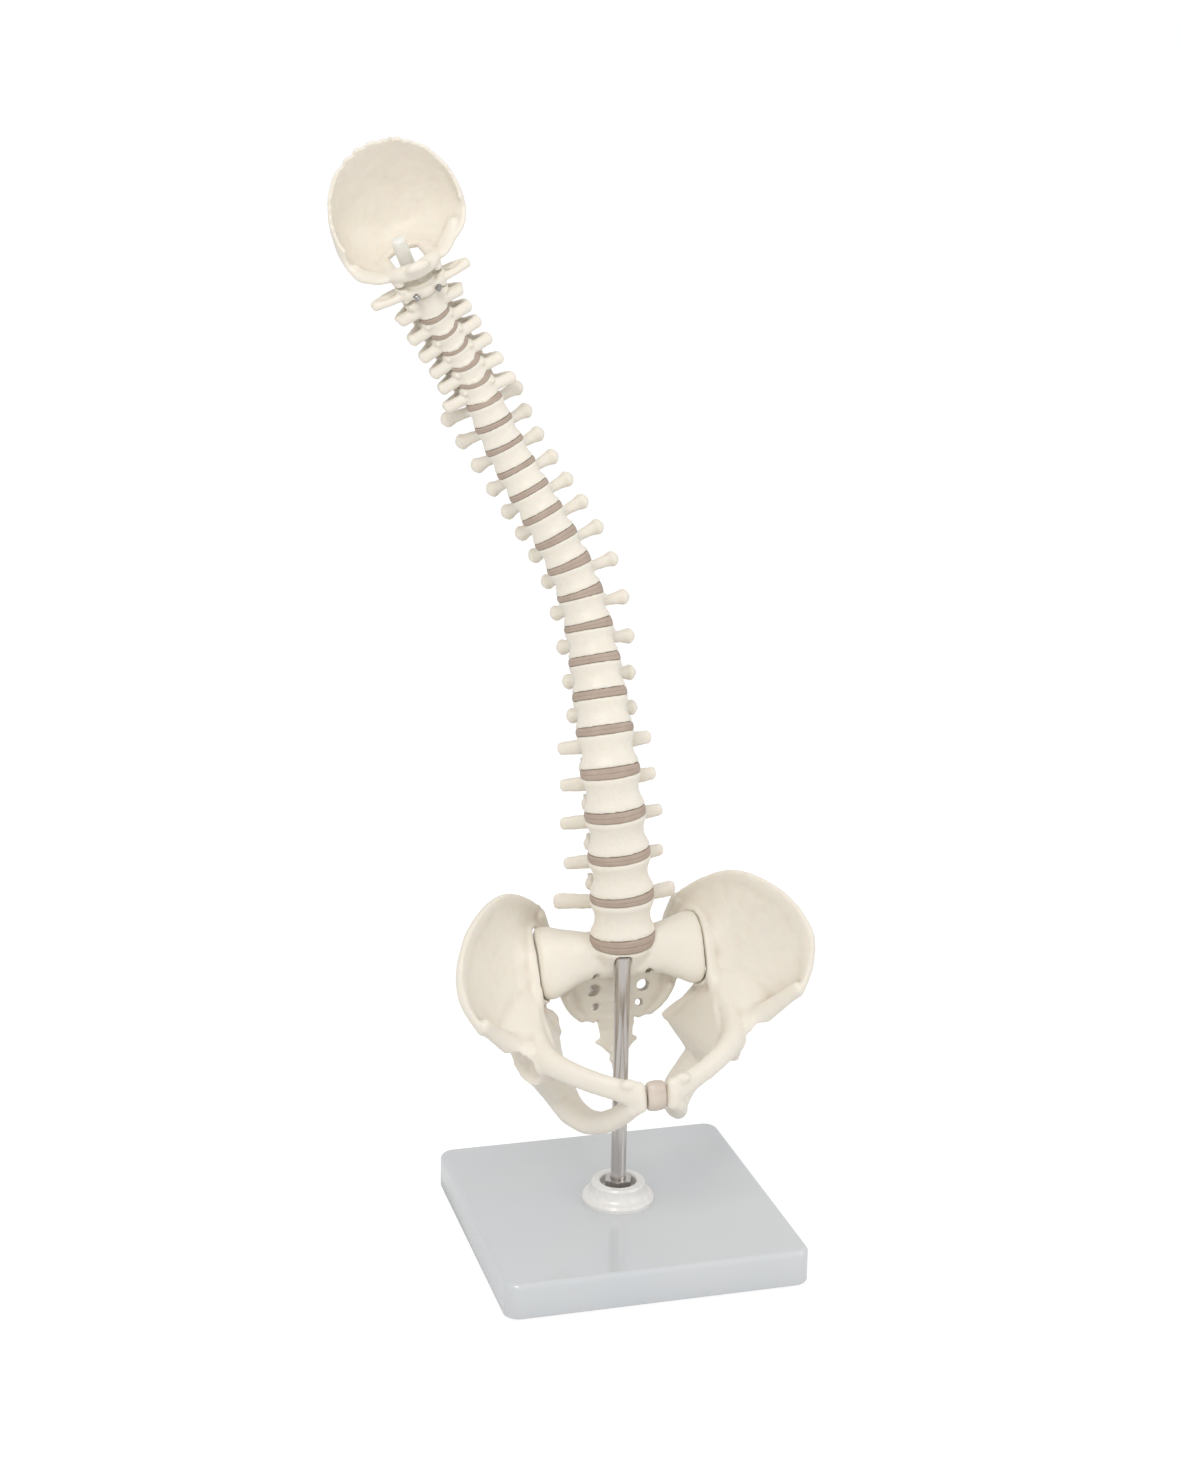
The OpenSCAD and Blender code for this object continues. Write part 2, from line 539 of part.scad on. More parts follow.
module occipital_bone() {
    cols = 18;
    rows = 3;
    span = 104;
    // Rings run across the bowl, out on its back face and home on its inner face
    rings = [for (k = [0 : cols]) let (t = -span + 2 * span * k / cols)
        concat([for (j = [0 : rows]) skull_point(t, j / rows)
                + (j == rows && abs(t) < 100 && k % 2 == 0 ? [0.3 * sin(t), 0, 0.9 * cos(t)] : [0, 0, 0])],
            [for (j = [rows : -1 : 0]) inward(t, j / rows)])];
    color(bone) place(skull_frame) {
        loft(rings);
        for (s = [-1, 1]) {
            // Condyle and the side of the opening
            hull() {
                translate([s * 7.3, 0.8, 0.9]) rotate([0, -s * 16, 0]) scale([3.8, 7.4, 0.8]) cylinder(d = 1, h = 1, center = true, $fn = 6);
                translate([s * 7.2, 1.4, skull_z + 0.2]) cube([3, 6.4, 2], center = true);
            }
            bar([[s * 7.8, 0.5, skull_z], [3.4, 4, 2.4]], [[s * 8.4, skull_y + 2.4, skull_z + 0.3], [2.4, 5, 2.2]], 1);
            bar([[s * 9, 2, skull_z + 0.2], [3, 5, 2.4]], [[s * 17.5, skull_y + 1, skull_z + 1.6], [4, 6, 3]], 0);
            bar([[s * 6.6, -0.6, skull_z + 0.2], [3.4, 4, 2.8]], [[s * 2.2, -3.6, skull_z + 0.4], [4, 3, 3.2]], 0);
        }
        // Fore part that runs up ahead of the opening
        bar([[0, -3.6, skull_z + 0.4], [9, 3, 3.2]], [[0, -7, skull_z + 2.4], [7.6, 2.4, 3]], 1);
    }
}

// Sacrum and coccyx

// The pelvis is drawn for a sacrum whose upper face is at this height, and goes where the sacrum
// is. In the photograph it is turned a little to the right.
pelvis_h = 121.2;
pelvis_turn = -3;
module pelvis() { translate([spine_x, 0, sacrum_z - pelvis_h]) rotate(pelvis_turn) children(); }

// Sections down the sacrum as [half width, depth, y, z], front face first
sacral = [[17.5, 11, 12.5, 106], [16, 9, 17, 98], [13.6, 8, 20, 90], [10.6, 6.6, 21, 82], [5, 5, 19.6, 76]];
function sacral_ring(q) = [for (p = [[-1, 0.1], [-0.6, -0.45], [0, -0.5], [0.6, -0.45], [1, 0.1], [0.62, 0.55], [0, 0.75], [-0.62, 0.55]])
    [q[0] * p[0], q[2] + q[1] * p[1], q[3]]];

module sacrum() {
    color(bone) difference() {
        union() {
            sacral_head();
            pelvis() {
                loft([for (k = [len(sacral) - 1 : -1 : 0]) sacral_ring(sacral[k])]);
                for (s = [-1, 1]) sacral_wing(s);
                coccyx();
                // Crest and canal roof behind
                strut([[0, 25.5, 110], 3.6], [[0, 28, 96], 2.6]);
                strut([[0, 28, 96], 2.6], [[0, 27, 82], 1.6]);
                for (z = [90, 99, 108]) bar([[0, 26.5, z], [2.6, 3, 4]], [[0, 31 - (z - 99) * 0.16, z - 2.5], [1.8, 1.6, 2.4]], 1);
            }
        }
        sacral_canal();
        pelvis() for (s = [-1, 1], k = [0 : 3]) translate([s * (11.4 - k * 1.1), [11, 17, 20, 21.5][k], [107, 98.6, 90.6, 83.6][k]])
            rotate([78 - k * 6, 0, -s * 6]) cylinder(d = [4.4, 3.9, 3, 2.2][k], h = 40, center = true, $fn = 6);
        cylinder(d = (rod_d + 2 * bore_gap) / cos(7.5), h = rod_end + 0.3, $fn = 24);
    }
}

// First sacral body, with its upper face under the lowest disc
module sacral_head() {
    w = high_w(0);
    d = high_d(0);
    hull() {
        place(sacrum_frame) loft([body_ring(w * 0.94, d * 0.94, dent(1), -4), body_ring(w, d, dent(1), 0)]);
        pelvis() translate([0, 12, 104]) cube([26, 11, 3], center = true);
    }
    for (s = [-1, 1]) place(sacrum_frame)
        bar([[s * 8.8, d / 2 + 0.4, -6], [3.8, 7, 5]],
            [[s * (canal_r(1) + 4.8), tube_y0 + canal_r(1), disc_t(1) * 0.5 + 0.2], [1.8, 3.4, 3.6]]);
}

// Corners of the wing between the first sacral body and the hip bone
function wing_corners(g) = [[10, -1, 118], [11, 15, 122], [wing_x - 4 + g, 18, 127.6], [wing_x - 1 + g, 13, 127],
    [wing_x + g, 3, 116], [wing_x - 4 + g, 0.4, 105.6 - g], [wing_x - 5 + g, 15, 102 - g],
    [wing_x - 3 + g, 20, 117], [14, 8, 103], [12, 20, 107]];

module sacral_wing(s) {
    scale([s, 1, 1]) {
        block(wing_corners(0));
        block([[wing_x - 6, 5, 105], [wing_x - 6, 16, 104], [20, 15, 91], [19, 20, 91], [13, 18, 84.6],
            [12, 23, 86], [8, 24, 96], [16, 24, 111], [10, 10, 108]]);
    }
}

module sacral_canal() {
    place(sacrum_frame) hull() {
        translate([0, tube_y0, 3]) cylinder(r = canal_r(1), h = 1, center = true, $fn = 10);
        translate([0, tube_y0 + 0.3, -6]) cylinder(r = canal_r(1) - 0.4, h = 1, center = true, $fn = 10);
    }
    place(sacrum_frame * turn_x(-18)) translate([0, tube_y0 - 1, -7]) cylinder(r = tube_d / 2 + 0.5, h = 8, center = true, $fn = 10);
}

module coccyx() {
    for (q = [[[0, 19.4, 77], [0, 17.6, 72.6], 4.6], [[0, 17.4, 72.4], [0, 15.4, 69], 3.4], [[0, 15.2, 69], [0, 12.6, 65.8], 2.4]])
        hull() {
            translate(q[0]) scale([q[2] * 1.5, q[2] * 0.9, 3]) sphere(d = 1, $fn = 6);
            translate(q[1]) scale([q[2], q[2] * 0.8, 2.6]) sphere(d = 1, $fn = 6);
        }
    for (s = [-1, 1]) strut([[s * 2, 19, 76.4], 1.6], [[s * 6.4, 19.6, 76.6], 1.1], 6);
}

// Hip bones

// Inner edge of the wing, from the back of the sacrum joint to the hip joint
wing_in = [[wing_x - 8, 27, 113], [wing_x - 5, 18, 104], [wing_x - 2, 5, 99.5], [36, -4, 96], [42, -11, 93], [48, -16, 91]];
// Crest, from the back spine over the top to the front spine
crest_top = pelvis_h + crest_z;
wing_out = [[wing_x - 9, 31, 120], [wing_x - 5, 22, crest_top - 12], [crest_x - 23, 6, crest_top],
    [crest_x - 8, -10, crest_top - 4], [crest_x, -23, crest_top - 15], [crest_x, -27, crest_top - 28],
    [crest_x - 6, -31, crest_top - 40]];
function along(list, u) = let (n = len(list) - 1, k = min(n - 1, floor(u * n)), f = u * n - k) list[k] * (1 - f) + list[k + 1] * f;
function smooth(list, u) = (along(list, max(0, u - 0.08)) + 2 * along(list, u) + along(list, min(1, u + 0.08))) / 4;
function wing_point(u, v) = smooth(wing_in, u) * (1 - v) + smooth(wing_out, u) * v
    + 4 * v * (1 - v) * sin(180 * u) * [2.6, 3.4, -1.2];

module hip_bone(s) {
    cols = 10;
    rows = 3;
    out = [0.70, 0.62, -0.35];
    rings = [for (k = [0 : cols]) let (u = k / cols) concat(
        [for (j = [0 : rows]) wing_point(u, j / rows)],
        [for (j = [rows : -1 : 0]) wing_point(u, j / rows) + out * wing_t * (j == rows ? 1.5 : 1)])];
    color(bone) pelvis() scale([s, 1, 1]) difference() {
        union() {
            loft([for (k = [cols : -1 : 0]) rings[k]]);
            // Border of the pelvic inlet, which runs on as the upper branch of the pubis
            pipe([[[wing_x - 4, 22, 110], 2.6], [[wing_x + 0.6, 10, 104], 3.4], [[36, -3, 97], 4], [[42, -16, 89], 6.6],
                [[30, -32, 87], 4.6], [[20, -39.5, 82.4], 4.2], [[6, -46.4, 80.6], 5]]);
            // Ischium, which turns forward into the lower branch
            pipe([[[38, -11, 88], 10], [[34, -9, 72], 8.6], [[27.5, -7, 61], 7.6], [[18, -22, 61.6], 5],
                [[10, -39, 70.6], 4.8], [[7, -45, 80], 5]]);
            hull() translate([39, -12, 84]) sphere(r = 9.6, $fn = 10);
            // Spines at the back and at the front
            block([[31, 4, 98], [33, -6, 100], [37, -6, 72], [31, -2, 74], [20, 8, 82], [19.6, 10, 80.6], [36, 6, 90]]);
            block([[53, -20, 98], [49, -22, 97], [54, -16, 94], [46, -20, 88], [50, -10, 88], [44, -8, 96]]);
            // Faces toward the other side, with a tubercle above
            block([for (y = [-50, -41.5], z = [75, 83.4]) [symphysis_w - 0.5, y + (z - 79) * -0.14, z],
                for (y = [-49, -42], z = [74, 84]) [12, y + (z - 79) * -0.14, z]]);
            block([[5, -49, 84], [6, -45, 85], [13, -47, 86], [13, -43, 85], [9, -48, 87.4], [10, -46, 80]]);
        }
        // Socket of the hip joint
        hull() translate([49, -17, 82]) sphere(d = cup_d, $fn = 12);
        // The faces toward the sacrum and toward the other side stay clear
        hull() translate([-20 + symphysis_w, -45, 80]) cube([40, 50, 60], center = true);
        block(wing_corners(0.3));
    }
}

module pubic_symphysis() {
    color(disc_grey) pelvis() translate([0, -45.4, 79]) rotate([-8, 0, 0]) rotate([0, 90, 0])
        scale([1.4, 1, 1]) cylinder(d = 8.4, h = 2 * symphysis_w - 0.1, center = true, $fn = 16);
}

base_plate();
base_collar();
rod_nuts();
rod_washer();
support_rod();
base_sheet();
sacrum();
hip_bone(1);  // left_hip_bone
hip_bone(-1);  // right_hip_bone
pubic_symphysis();
core_tube();
occipital_bone();
atlas_springs();
for (i = [1 : 24]) vertebra(i);
for (i = [1 : 23]) disc(i);
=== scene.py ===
"""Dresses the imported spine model: bones, discs, core, base and steel, with camera and light."""
import bpy
import math
import numpy as np
from mathutils import Matrix, Vector, noise


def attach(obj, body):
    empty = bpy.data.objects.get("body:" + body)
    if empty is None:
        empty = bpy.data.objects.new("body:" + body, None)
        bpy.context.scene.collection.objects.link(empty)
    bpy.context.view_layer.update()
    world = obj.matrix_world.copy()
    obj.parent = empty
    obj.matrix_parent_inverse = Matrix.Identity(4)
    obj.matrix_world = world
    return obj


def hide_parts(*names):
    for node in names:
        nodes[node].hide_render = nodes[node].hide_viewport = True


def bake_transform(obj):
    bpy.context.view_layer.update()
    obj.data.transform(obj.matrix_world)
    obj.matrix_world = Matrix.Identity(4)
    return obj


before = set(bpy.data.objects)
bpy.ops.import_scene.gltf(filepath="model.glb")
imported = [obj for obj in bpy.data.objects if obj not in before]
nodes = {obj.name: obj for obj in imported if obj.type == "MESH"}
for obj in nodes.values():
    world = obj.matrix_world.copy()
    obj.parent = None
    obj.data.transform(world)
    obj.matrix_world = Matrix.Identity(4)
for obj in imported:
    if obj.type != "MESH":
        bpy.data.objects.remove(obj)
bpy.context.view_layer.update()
scene = bpy.context.scene
MM = 0.001

# ---------------------------------------------------------------- sizes and posture of the column
SPINE_X, SACRUM_Y, SACRUM_Z, SACRUM_LEAN = 1.2, 5.8, 121.2, 16
LEAN = [5, 4.5, 3, -4, -12.5, -17, -17.5, -15.5, -10.5, -4.5, -1.5, -2, -2.5, -1, 2, 6, 8.5, 12,
        13.5, 15.5, 19, 22, 24.5, 25]
BEND = [3.6, 3, 1, 0, 0.2, 0.4, 0.4, 1.2, 4, 5.8, 5, 2.8, 0.6, -0.6, -1.6, -2.2, -2, 0.2, 4, 4.8,
        1.2, -2.6, -4.2, -3.4]
TURN = [-1.8] * 5 + [-3] * 4 + [-2, 1, 2] + [2.6] * 3 + [2.4, 2.2, 1.6] + [0] * 6
LEVEL = ["l%d" % k for k in range(5, 0, -1)] + ["t%d" % k for k in range(12, 0, -1)] \
    + ["c%d" % k for k in range(7, 0, -1)]


def lookup(i, table):
    return float(np.interp(i, [a for a, _ in table], [b for _, b in table]))


def body_w(i):
    return lookup(i, [(1, 25.5), (5, 22.5), (6, 21.5), (9, 18.06), (17, 14.5), (18, 13.4),
                      (20, 12), (23, 12)])


def body_d(i):
    return body_w(i) * lookup(i, [(1, 0.69), (5, 0.72), (9, 0.80), (17, 0.78), (18, 0.72), (23, 0.74)])


def body_h(i):
    if i >= 23:
        return 5.4 if i == 24 else 8.4
    return lookup(i, [(1, 13.8), (5, 12), (6, 10.4), (9, 9.4), (11, 8.1), (17, 7), (18, 6.1), (19, 5.5)])


def disc_t(i):
    return 0.5 if i == 24 else lookup(i, [(1, 4.6), (2, 4.2), (5, 4), (6, 3.2), (11, 3.2), (13, 2.3),
                                          (17, 2.1), (23, 2.1)])


def canal_r(i):
    return lookup(i, [(1, 4.3), (6, 3.9), (17, 3.7), (24, 3.7)])


def dent(i):
    return lookup(i, [(1, 0.16), (6, 0.10), (18, 0.08), (24, 0.08)])


def canal_y(i):
    i = min(i, 23)
    return body_d(i) / 2 * (1 - dent(i)) + canal_r(i) + 0.1


def move(x, y, z):
    m = np.eye(4)
    m[:3, 3] = (x, y, z)
    return m


def turn(axis, degrees):
    return np.array(Matrix.Rotation(math.radians(degrees), 4, axis))


def at(m, p):
    p = np.atleast_2d(np.asarray(p, float))
    return p @ m[:3, :3].T + m[:3, 3]


SACRUM = move(SPINE_X, SACRUM_Y, SACRUM_Z) @ turn("X", SACRUM_LEAN)
FRAME, MID = {}, {}
_m, _lean = SACRUM, SACRUM_LEAN
for _i in range(1, 25):
    _m = _m @ move(0, 0, disc_t(_i) / 2)
    MID[_i] = _m.copy()
    _m = _m @ turn("Y", -BEND[_i - 1]) @ turn("X", LEAN[_i - 1] - _lean) @ turn("Z", TURN[_i - 1]) \
        @ move(0, 0, disc_t(_i) / 2)
    _lean = LEAN[_i - 1]
    FRAME[_i] = _m.copy()
    _m = _m @ move(0, 0, body_h(_i))
SKULL = _m @ move(0, 0, 0.3)


def bone_name(i):
    return {23: "axis_c2", 24: "atlas_c1"}.get(i, "vertebra_" + LEVEL[i - 1])


def disc_key(i):
    return "%s_%s" % (LEVEL[i - 1], "s1" if i == 1 else LEVEL[i - 2])


# ---------------------------------------------------------------- mesh tools, in millimetres
def loft(rings, close=True):
    n = len(rings[0])
    v = np.concatenate([np.asarray(r, float) for r in rings])
    f = []
    for j in range(len(rings) - 1):
        for k in range(n):
            a, b = j * n + k, j * n + (k + 1) % n
            f.append((a, b, b + n, a + n))
    if close:
        f.append(tuple(range(n))[::-1])
        f.append(tuple((len(rings) - 1) * n + k for k in range(n)))
    return v, f


def limb(path, sides=14):
    """A round limb through points [x, y, z, radius across, radius up], with round ends."""
    p = np.array([q[:3] for q in path], float)
    ra = np.array([q[3] for q in path], float)
    rb = np.array([q[4] if len(q) > 4 else q[3] for q in path], float)
    t = np.linspace(0, len(p) - 1, 4 * (len(p) - 1) + 1)
    idx = np.arange(len(p))
    q = np.stack([np.interp(t, idx, p[:, k]) for k in range(3)], 1)
    for _ in range(3):
        q[1:-1] = (q[:-2] + 2 * q[1:-1] + q[2:]) / 4
    qa, qb = np.interp(t, idx, ra), np.interp(t, idx, rb)
    d = np.gradient(q, axis=0)
    d /= np.linalg.norm(d, axis=1)[:, None]
    up = np.array([0, 0, 1.0])
    if abs(d[0] @ up) > 0.85:
        up = np.array([0, 1.0, 0])
    rings = []

    def ring(c, dd, a, b):
        s = np.cross(dd, up)
        s /= np.linalg.norm(s)
        u = np.cross(s, dd)
        w = np.linspace(0, 2 * np.pi, sides, endpoint=False)
        return c + np.outer(np.cos(w) * a, s) + np.outer(np.sin(w) * b, u)

    for w in (80, 55, 28):
        k = math.cos(math.radians(w))
        rings.append(ring(q[0] - d[0] * math.sin(math.radians(w)) * min(qa[0], qb[0]) * 0.8,
                          d[0], qa[0] * k, qb[0] * k))
    for k in range(len(q)):
        rings.append(ring(q[k], d[k], qa[k], qb[k]))
    for w in (28, 55, 80):
        k = math.cos(math.radians(w))
        rings.append(ring(q[-1] + d[-1] * math.sin(math.radians(w)) * min(qa[-1], qb[-1]) * 0.8,
                          d[-1], qa[-1] * k, qb[-1] * k))
    return loft(rings)


def ball(c, r):
    u = np.linspace(-1, 1, 11)
    return loft([[(c[0] + r[0] * math.cos(a) * math.cos(b), c[1] + r[1] * math.sin(a) * math.cos(b),
                   c[2] + r[2] * math.sin(b)) for a in np.linspace(0, 2 * np.pi, 16, endpoint=False)]
                 for b in u * math.radians(86)])


def placed(part, m):
    return at(m, part[0]), part[1]


def mirrored(part):
    v = part[0] * np.array([-1, 1, 1])
    return v, [tuple(f[::-1]) for f in part[1]]


def cad(name):
    me = nodes[name].data
    v = np.empty(len(me.vertices) * 3, np.float32)
    me.vertices.foreach_get("co", v)
    return v.reshape(-1, 3).astype(float) / MM, [tuple(p.vertices) for p in me.polygons]


def mesh_object(name, part):
    me = bpy.data.meshes.new(name)
    me.from_pydata([tuple(p) for p in np.asarray(part[0]) * MM], [], part[1])
    me.update()
    ob = bpy.data.objects.new(name, me)
    scene.collection.objects.link(ob)
    return ob


def coords(me):
    v = np.empty(len(me.vertices) * 3, np.float32)
    me.vertices.foreach_get("co", v)
    return v.reshape(-1, 3).astype(float)


def put(me, v):
    me.vertices.foreach_set("co", np.asarray(v, np.float32).ravel())
    me.update()


def edge_table(me):
    e = np.empty(len(me.edges) * 2, np.int32)
    me.edges.foreach_get("vertices", e)
    e = e.reshape(-1, 2)
    deg = np.bincount(e.ravel(), minlength=len(me.vertices)).astype(float)
    return e, np.maximum(deg, 1)


def averaged(v, e, deg):
    out = np.empty_like(v)
    for k in range(3):
        s = np.bincount(e[:, 0], v[e[:, 1], k], len(v)) + np.bincount(e[:, 1], v[e[:, 0], k], len(v))
        out[:, k] = s / deg
    return out


def joined(parts):
    verts, faces, n = [], [], 0
    for v, f in parts:
        verts.append(v)
        faces += [tuple(k + n for k in q) for q in f]
        n += len(v)
    return np.concatenate(verts), faces


def fused(name, parts, voxel=0.5, rounds=8, grain=0.06, grain_size=2.2, cavity=14, cuts=()):
    """Closed parts become one smooth organic piece, and the cuts are taken out of it."""
    ob = mesh_object(name, joined(parts))
    mod = ob.modifiers.new("fuse", "REMESH")
    mod.mode = "VOXEL"
    mod.voxel_size = voxel * MM
    tools = [mesh_object("cut_tool", part) for part in cuts]
    for tool in tools:
        mod = ob.modifiers.new("cut", "BOOLEAN")
        mod.operation = "DIFFERENCE"
        mod.object = tool
        mod.solver = "MANIFOLD"
    if tools:
        mod = ob.modifiers.new("even", "REMESH")
        mod.mode = "VOXEL"
        mod.voxel_size = voxel * MM
    deps = bpy.context.evaluated_depsgraph_get()
    me = bpy.data.meshes.new_from_object(ob.evaluated_get(deps))
    ob.modifiers.clear()
    ob.data = me
    me.name = name
    for tool in tools:
        bpy.data.objects.remove(tool)
    v = coords(me) / MM
    e, deg = edge_table(me)
    for _ in range(rounds):
        v += 0.6 * (averaged(v, e, deg) - v)
        v -= 0.56 * (averaged(v, e, deg) - v)
    put(me, v * MM)
    if grain:
        nrm = normals(me)
        push = np.array([noise.fractal(Vector(p) / grain_size, 1.0, 2.1, 3) for p in v])
        v = v + nrm * (push * grain)[:, None]
        put(me, v * MM)
    # Painted shade: the depth of each point in a hollow is stored, and the bone colour darkens with it.
    paint_recess_shade(me, v, e, deg, cavity)
    smooth_shade(me)
    return ob


def normals(me):
    n = np.empty(len(me.vertices) * 3, np.float32)
    me.vertex_normals.foreach_get("vector", n)
    return n.reshape(-1, 3).astype(float)


def paint_recess_shade(me, v, e, deg, rounds):
    """Stores how deep each point lies in a hollow, for the painted shade that darkens the recesses."""
    s = v.copy()
    for _ in range(rounds):
        s += 0.8 * (averaged(s, e, deg) - s)
    hollow = ((s - v) * normals(me)).sum(1)
    for _ in range(3):
        hollow = 0.5 * hollow + 0.5 * averaged(np.stack([hollow] * 3, 1), e, deg)[:, 0]
    a = me.attributes.new("hollow", "FLOAT", "POINT")
    a.data.foreach_set("value", np.clip(hollow, -1, 1).astype(np.float32))


def smooth_shade(me):
    me.polygons.foreach_set("use_smooth", [True] * len(me.polygons))
    me.update()


# ---------------------------------------------------------------- materials
def material(name, colour, rough, **sockets):
    m = bpy.data.materials.new(name)
    m.use_nodes = True
    nt = m.node_tree
    b = nt.nodes["Principled BSDF"]
    b.inputs["Base Color"].default_value = (*colour, 1)
    b.inputs["Roughness"].default_value = rough
    for k, v in sockets.items():
        b.inputs[k.replace("_", " ")].default_value = v
    return m, nt, b


def node(nt, kind, **props):
    n = nt.nodes.new(kind)
    for k, v in props.items():
        setattr(n, k, v)
    return n


def noise_node(nt, scale, detail=3, rough=0.5):
    tc = node(nt, "ShaderNodeTexCoord")
    n = node(nt, "ShaderNodeTexNoise")
    n.inputs["Scale"].default_value = scale
    n.inputs["Detail"].default_value = detail
    n.inputs["Roughness"].default_value = rough
    nt.links.new(tc.outputs["Object"], n.inputs["Vector"])
    return n


def ramp(nt, source, stops):
    r = node(nt, "ShaderNodeValToRGB")
    els = r.color_ramp.elements
    while len(els) < len(stops):
        els.new(0.5)
    for el, (p, c) in zip(els, stops):
        el.position = p
        el.color = (*c, 1)
    nt.links.new(source, r.inputs["Fac"])
    return r


def mix(nt, fac, a, b, blend="MIX"):
    m = node(nt, "ShaderNodeMix", data_type="RGBA", blend_type=blend)
    for key, val in ((0, fac), (6, a), (7, b)):
        if isinstance(val, bpy.types.NodeSocket):
            nt.links.new(val, m.inputs[key])
        elif key == 0:
            m.inputs[0].default_value = val
        else:
            m.inputs[key].default_value = (*val, 1)
    return m.outputs[2]


def bump(nt, b, height, strength, distance):
    n = node(nt, "ShaderNodeBump")
    n.inputs["Strength"].default_value = strength
    n.inputs["Distance"].default_value = distance
    nt.links.new(height, n.inputs["Height"])
    nt.links.new(n.outputs["Normal"], b.inputs["Normal"])


def bone_material(name, base, deep, recess_shade=1.0):
    m, nt, b = material(name, base, 0.42, Specular_IOR_Level=0.42, Coat_Weight=0.10, Coat_Roughness=0.25)
    b.inputs["Subsurface Weight"].default_value = 0.12
    b.inputs["Subsurface Radius"].default_value = (0.0022, 0.0012, 0.0006)
    b.inputs["Subsurface Scale"].default_value = 1.0
    # Painted shade: the colour turns toward the deep colour where the surface lies in a hollow, broken into blotches by
    # the noise.
    at_ = node(nt, "ShaderNodeAttribute", attribute_name="hollow")
    mp = node(nt, "ShaderNodeMapRange")
    mp.inputs["From Min"].default_value = 0.02
    mp.inputs["From Max"].default_value = 0.55
    mp.inputs["To Max"].default_value = 0.75 * recess_shade
    nt.links.new(at_.outputs["Fac"], mp.inputs["Value"])
    blot = noise_node(nt, 90, 4, 0.6)
    soft = ramp(nt, blot.outputs["Fac"], [(0.35, (0.2, 0.2, 0.2)), (0.7, (1, 1, 1))])
    mul = node(nt, "ShaderNodeMath", operation="MULTIPLY")
    nt.links.new(mp.outputs["Result"], mul.inputs[0])
    nt.links.new(soft.outputs["Color"], mul.inputs[1])
    wide = noise_node(nt, 38, 2, 0.5)
    tone = ramp(nt, wide.outputs["Fac"], [(0.3, tuple(c * 0.965 for c in base)), (0.7, base)])
    col = mix(nt, mul.outputs[0], tone.outputs["Color"], deep)
    nt.links.new(col, b.inputs["Base Color"])
    fine = noise_node(nt, 900, 4, 0.6)
    bump(nt, b, fine.outputs["Fac"], 0.16, 0.0004)
    rr = ramp(nt, blot.outputs["Fac"], [(0.3, (0.38,) * 3), (0.75, (0.5,) * 3)])
    nt.links.new(rr.outputs["Color"], b.inputs["Roughness"])
    return m


# The second colour of each bone is the painted shade in its recesses.
BONE = bone_material("bone", (0.80, 0.748, 0.655), (0.46, 0.33, 0.22))
BONE_FAR = bone_material("bone_back", (0.80, 0.73, 0.61), (0.42, 0.28, 0.17), 1.1)

DISC, nt, b = material("disc", (0.44, 0.35, 0.285), 0.6, Specular_IOR_Level=0.3)
n1 = noise_node(nt, 200, 3, 0.5)
r1 = ramp(nt, n1.outputs["Fac"], [(0.3, (0.405, 0.32, 0.26)), (0.6, (0.445, 0.355, 0.29)), (0.8, (0.475, 0.385, 0.32))])
nt.links.new(r1.outputs["Color"], b.inputs["Base Color"])
bump(nt, b, n1.outputs["Fac"], 0.12, 0.0004)

GRISTLE, nt, b = material("gristle", (0.62, 0.54, 0.46), 0.34, Specular_IOR_Level=0.5, Subsurface_Weight=0.2)
b.inputs["Subsurface Radius"].default_value = (0.003, 0.002, 0.001)
n1 = noise_node(nt, 120, 3, 0.5)
r1 = ramp(nt, n1.outputs["Fac"], [(0.3, (0.56, 0.48, 0.40)), (0.7, (0.68, 0.60, 0.52))])
nt.links.new(r1.outputs["Color"], b.inputs["Base Color"])
bump(nt, b, n1.outputs["Fac"], 0.15, 0.0006)

TUBE, nt, b = material("core", (0.80, 0.78, 0.72), 0.40, Subsurface_Weight=0.1)
n1 = noise_node(nt, 400, 3, 0.5)
r1 = ramp(nt, n1.outputs["Fac"], [(0.3, (0.76, 0.74, 0.68)), (0.7, (0.83, 0.81, 0.76))])
nt.links.new(r1.outputs["Color"], b.inputs["Base Color"])
bump(nt, b, n1.outputs["Fac"], 0.1, 0.0003)

PLATE, nt, b = material("base_gloss", (0.585, 0.60, 0.615), 0.16, Specular_IOR_Level=0.5, Coat_Weight=0.5, Coat_Roughness=0.05)
n1 = noise_node(nt, 22, 2, 0.4)
r1 = ramp(nt, n1.outputs["Fac"], [(0.3, (0.57, 0.59, 0.61)), (0.7, (0.60, 0.615, 0.625))])
nt.links.new(r1.outputs["Color"], b.inputs["Base Color"])
n2 = noise_node(nt, 700, 2, 0.4)
bump(nt, b, n2.outputs["Fac"], 0.03, 0.0003)

COLLAR, nt, b = material("collar", (0.78, 0.765, 0.74), 0.24, Specular_IOR_Level=0.5, Coat_Weight=0.3, Coat_Roughness=0.08)
n2 = noise_node(nt, 500, 2, 0.4)
r1 = ramp(nt, n2.outputs["Fac"], [(0.3, (0.76, 0.745, 0.72)), (0.7, (0.80, 0.785, 0.76))])
nt.links.new(r1.outputs["Color"], b.inputs["Base Color"])
bump(nt, b, n2.outputs["Fac"], 0.04, 0.0003)

RUBBER, nt, b = material("sheet_rubber", (0.03, 0.03, 0.032), 0.7)
n2 = noise_node(nt, 800, 3, 0.6)
r1 = ramp(nt, n2.outputs["Fac"], [(0.3, (0.022, 0.022, 0.024)), (0.7, (0.04, 0.04, 0.042))])
nt.links.new(r1.outputs["Color"], b.inputs["Base Color"])
bump(nt, b, n2.outputs["Fac"], 0.3, 0.0004)

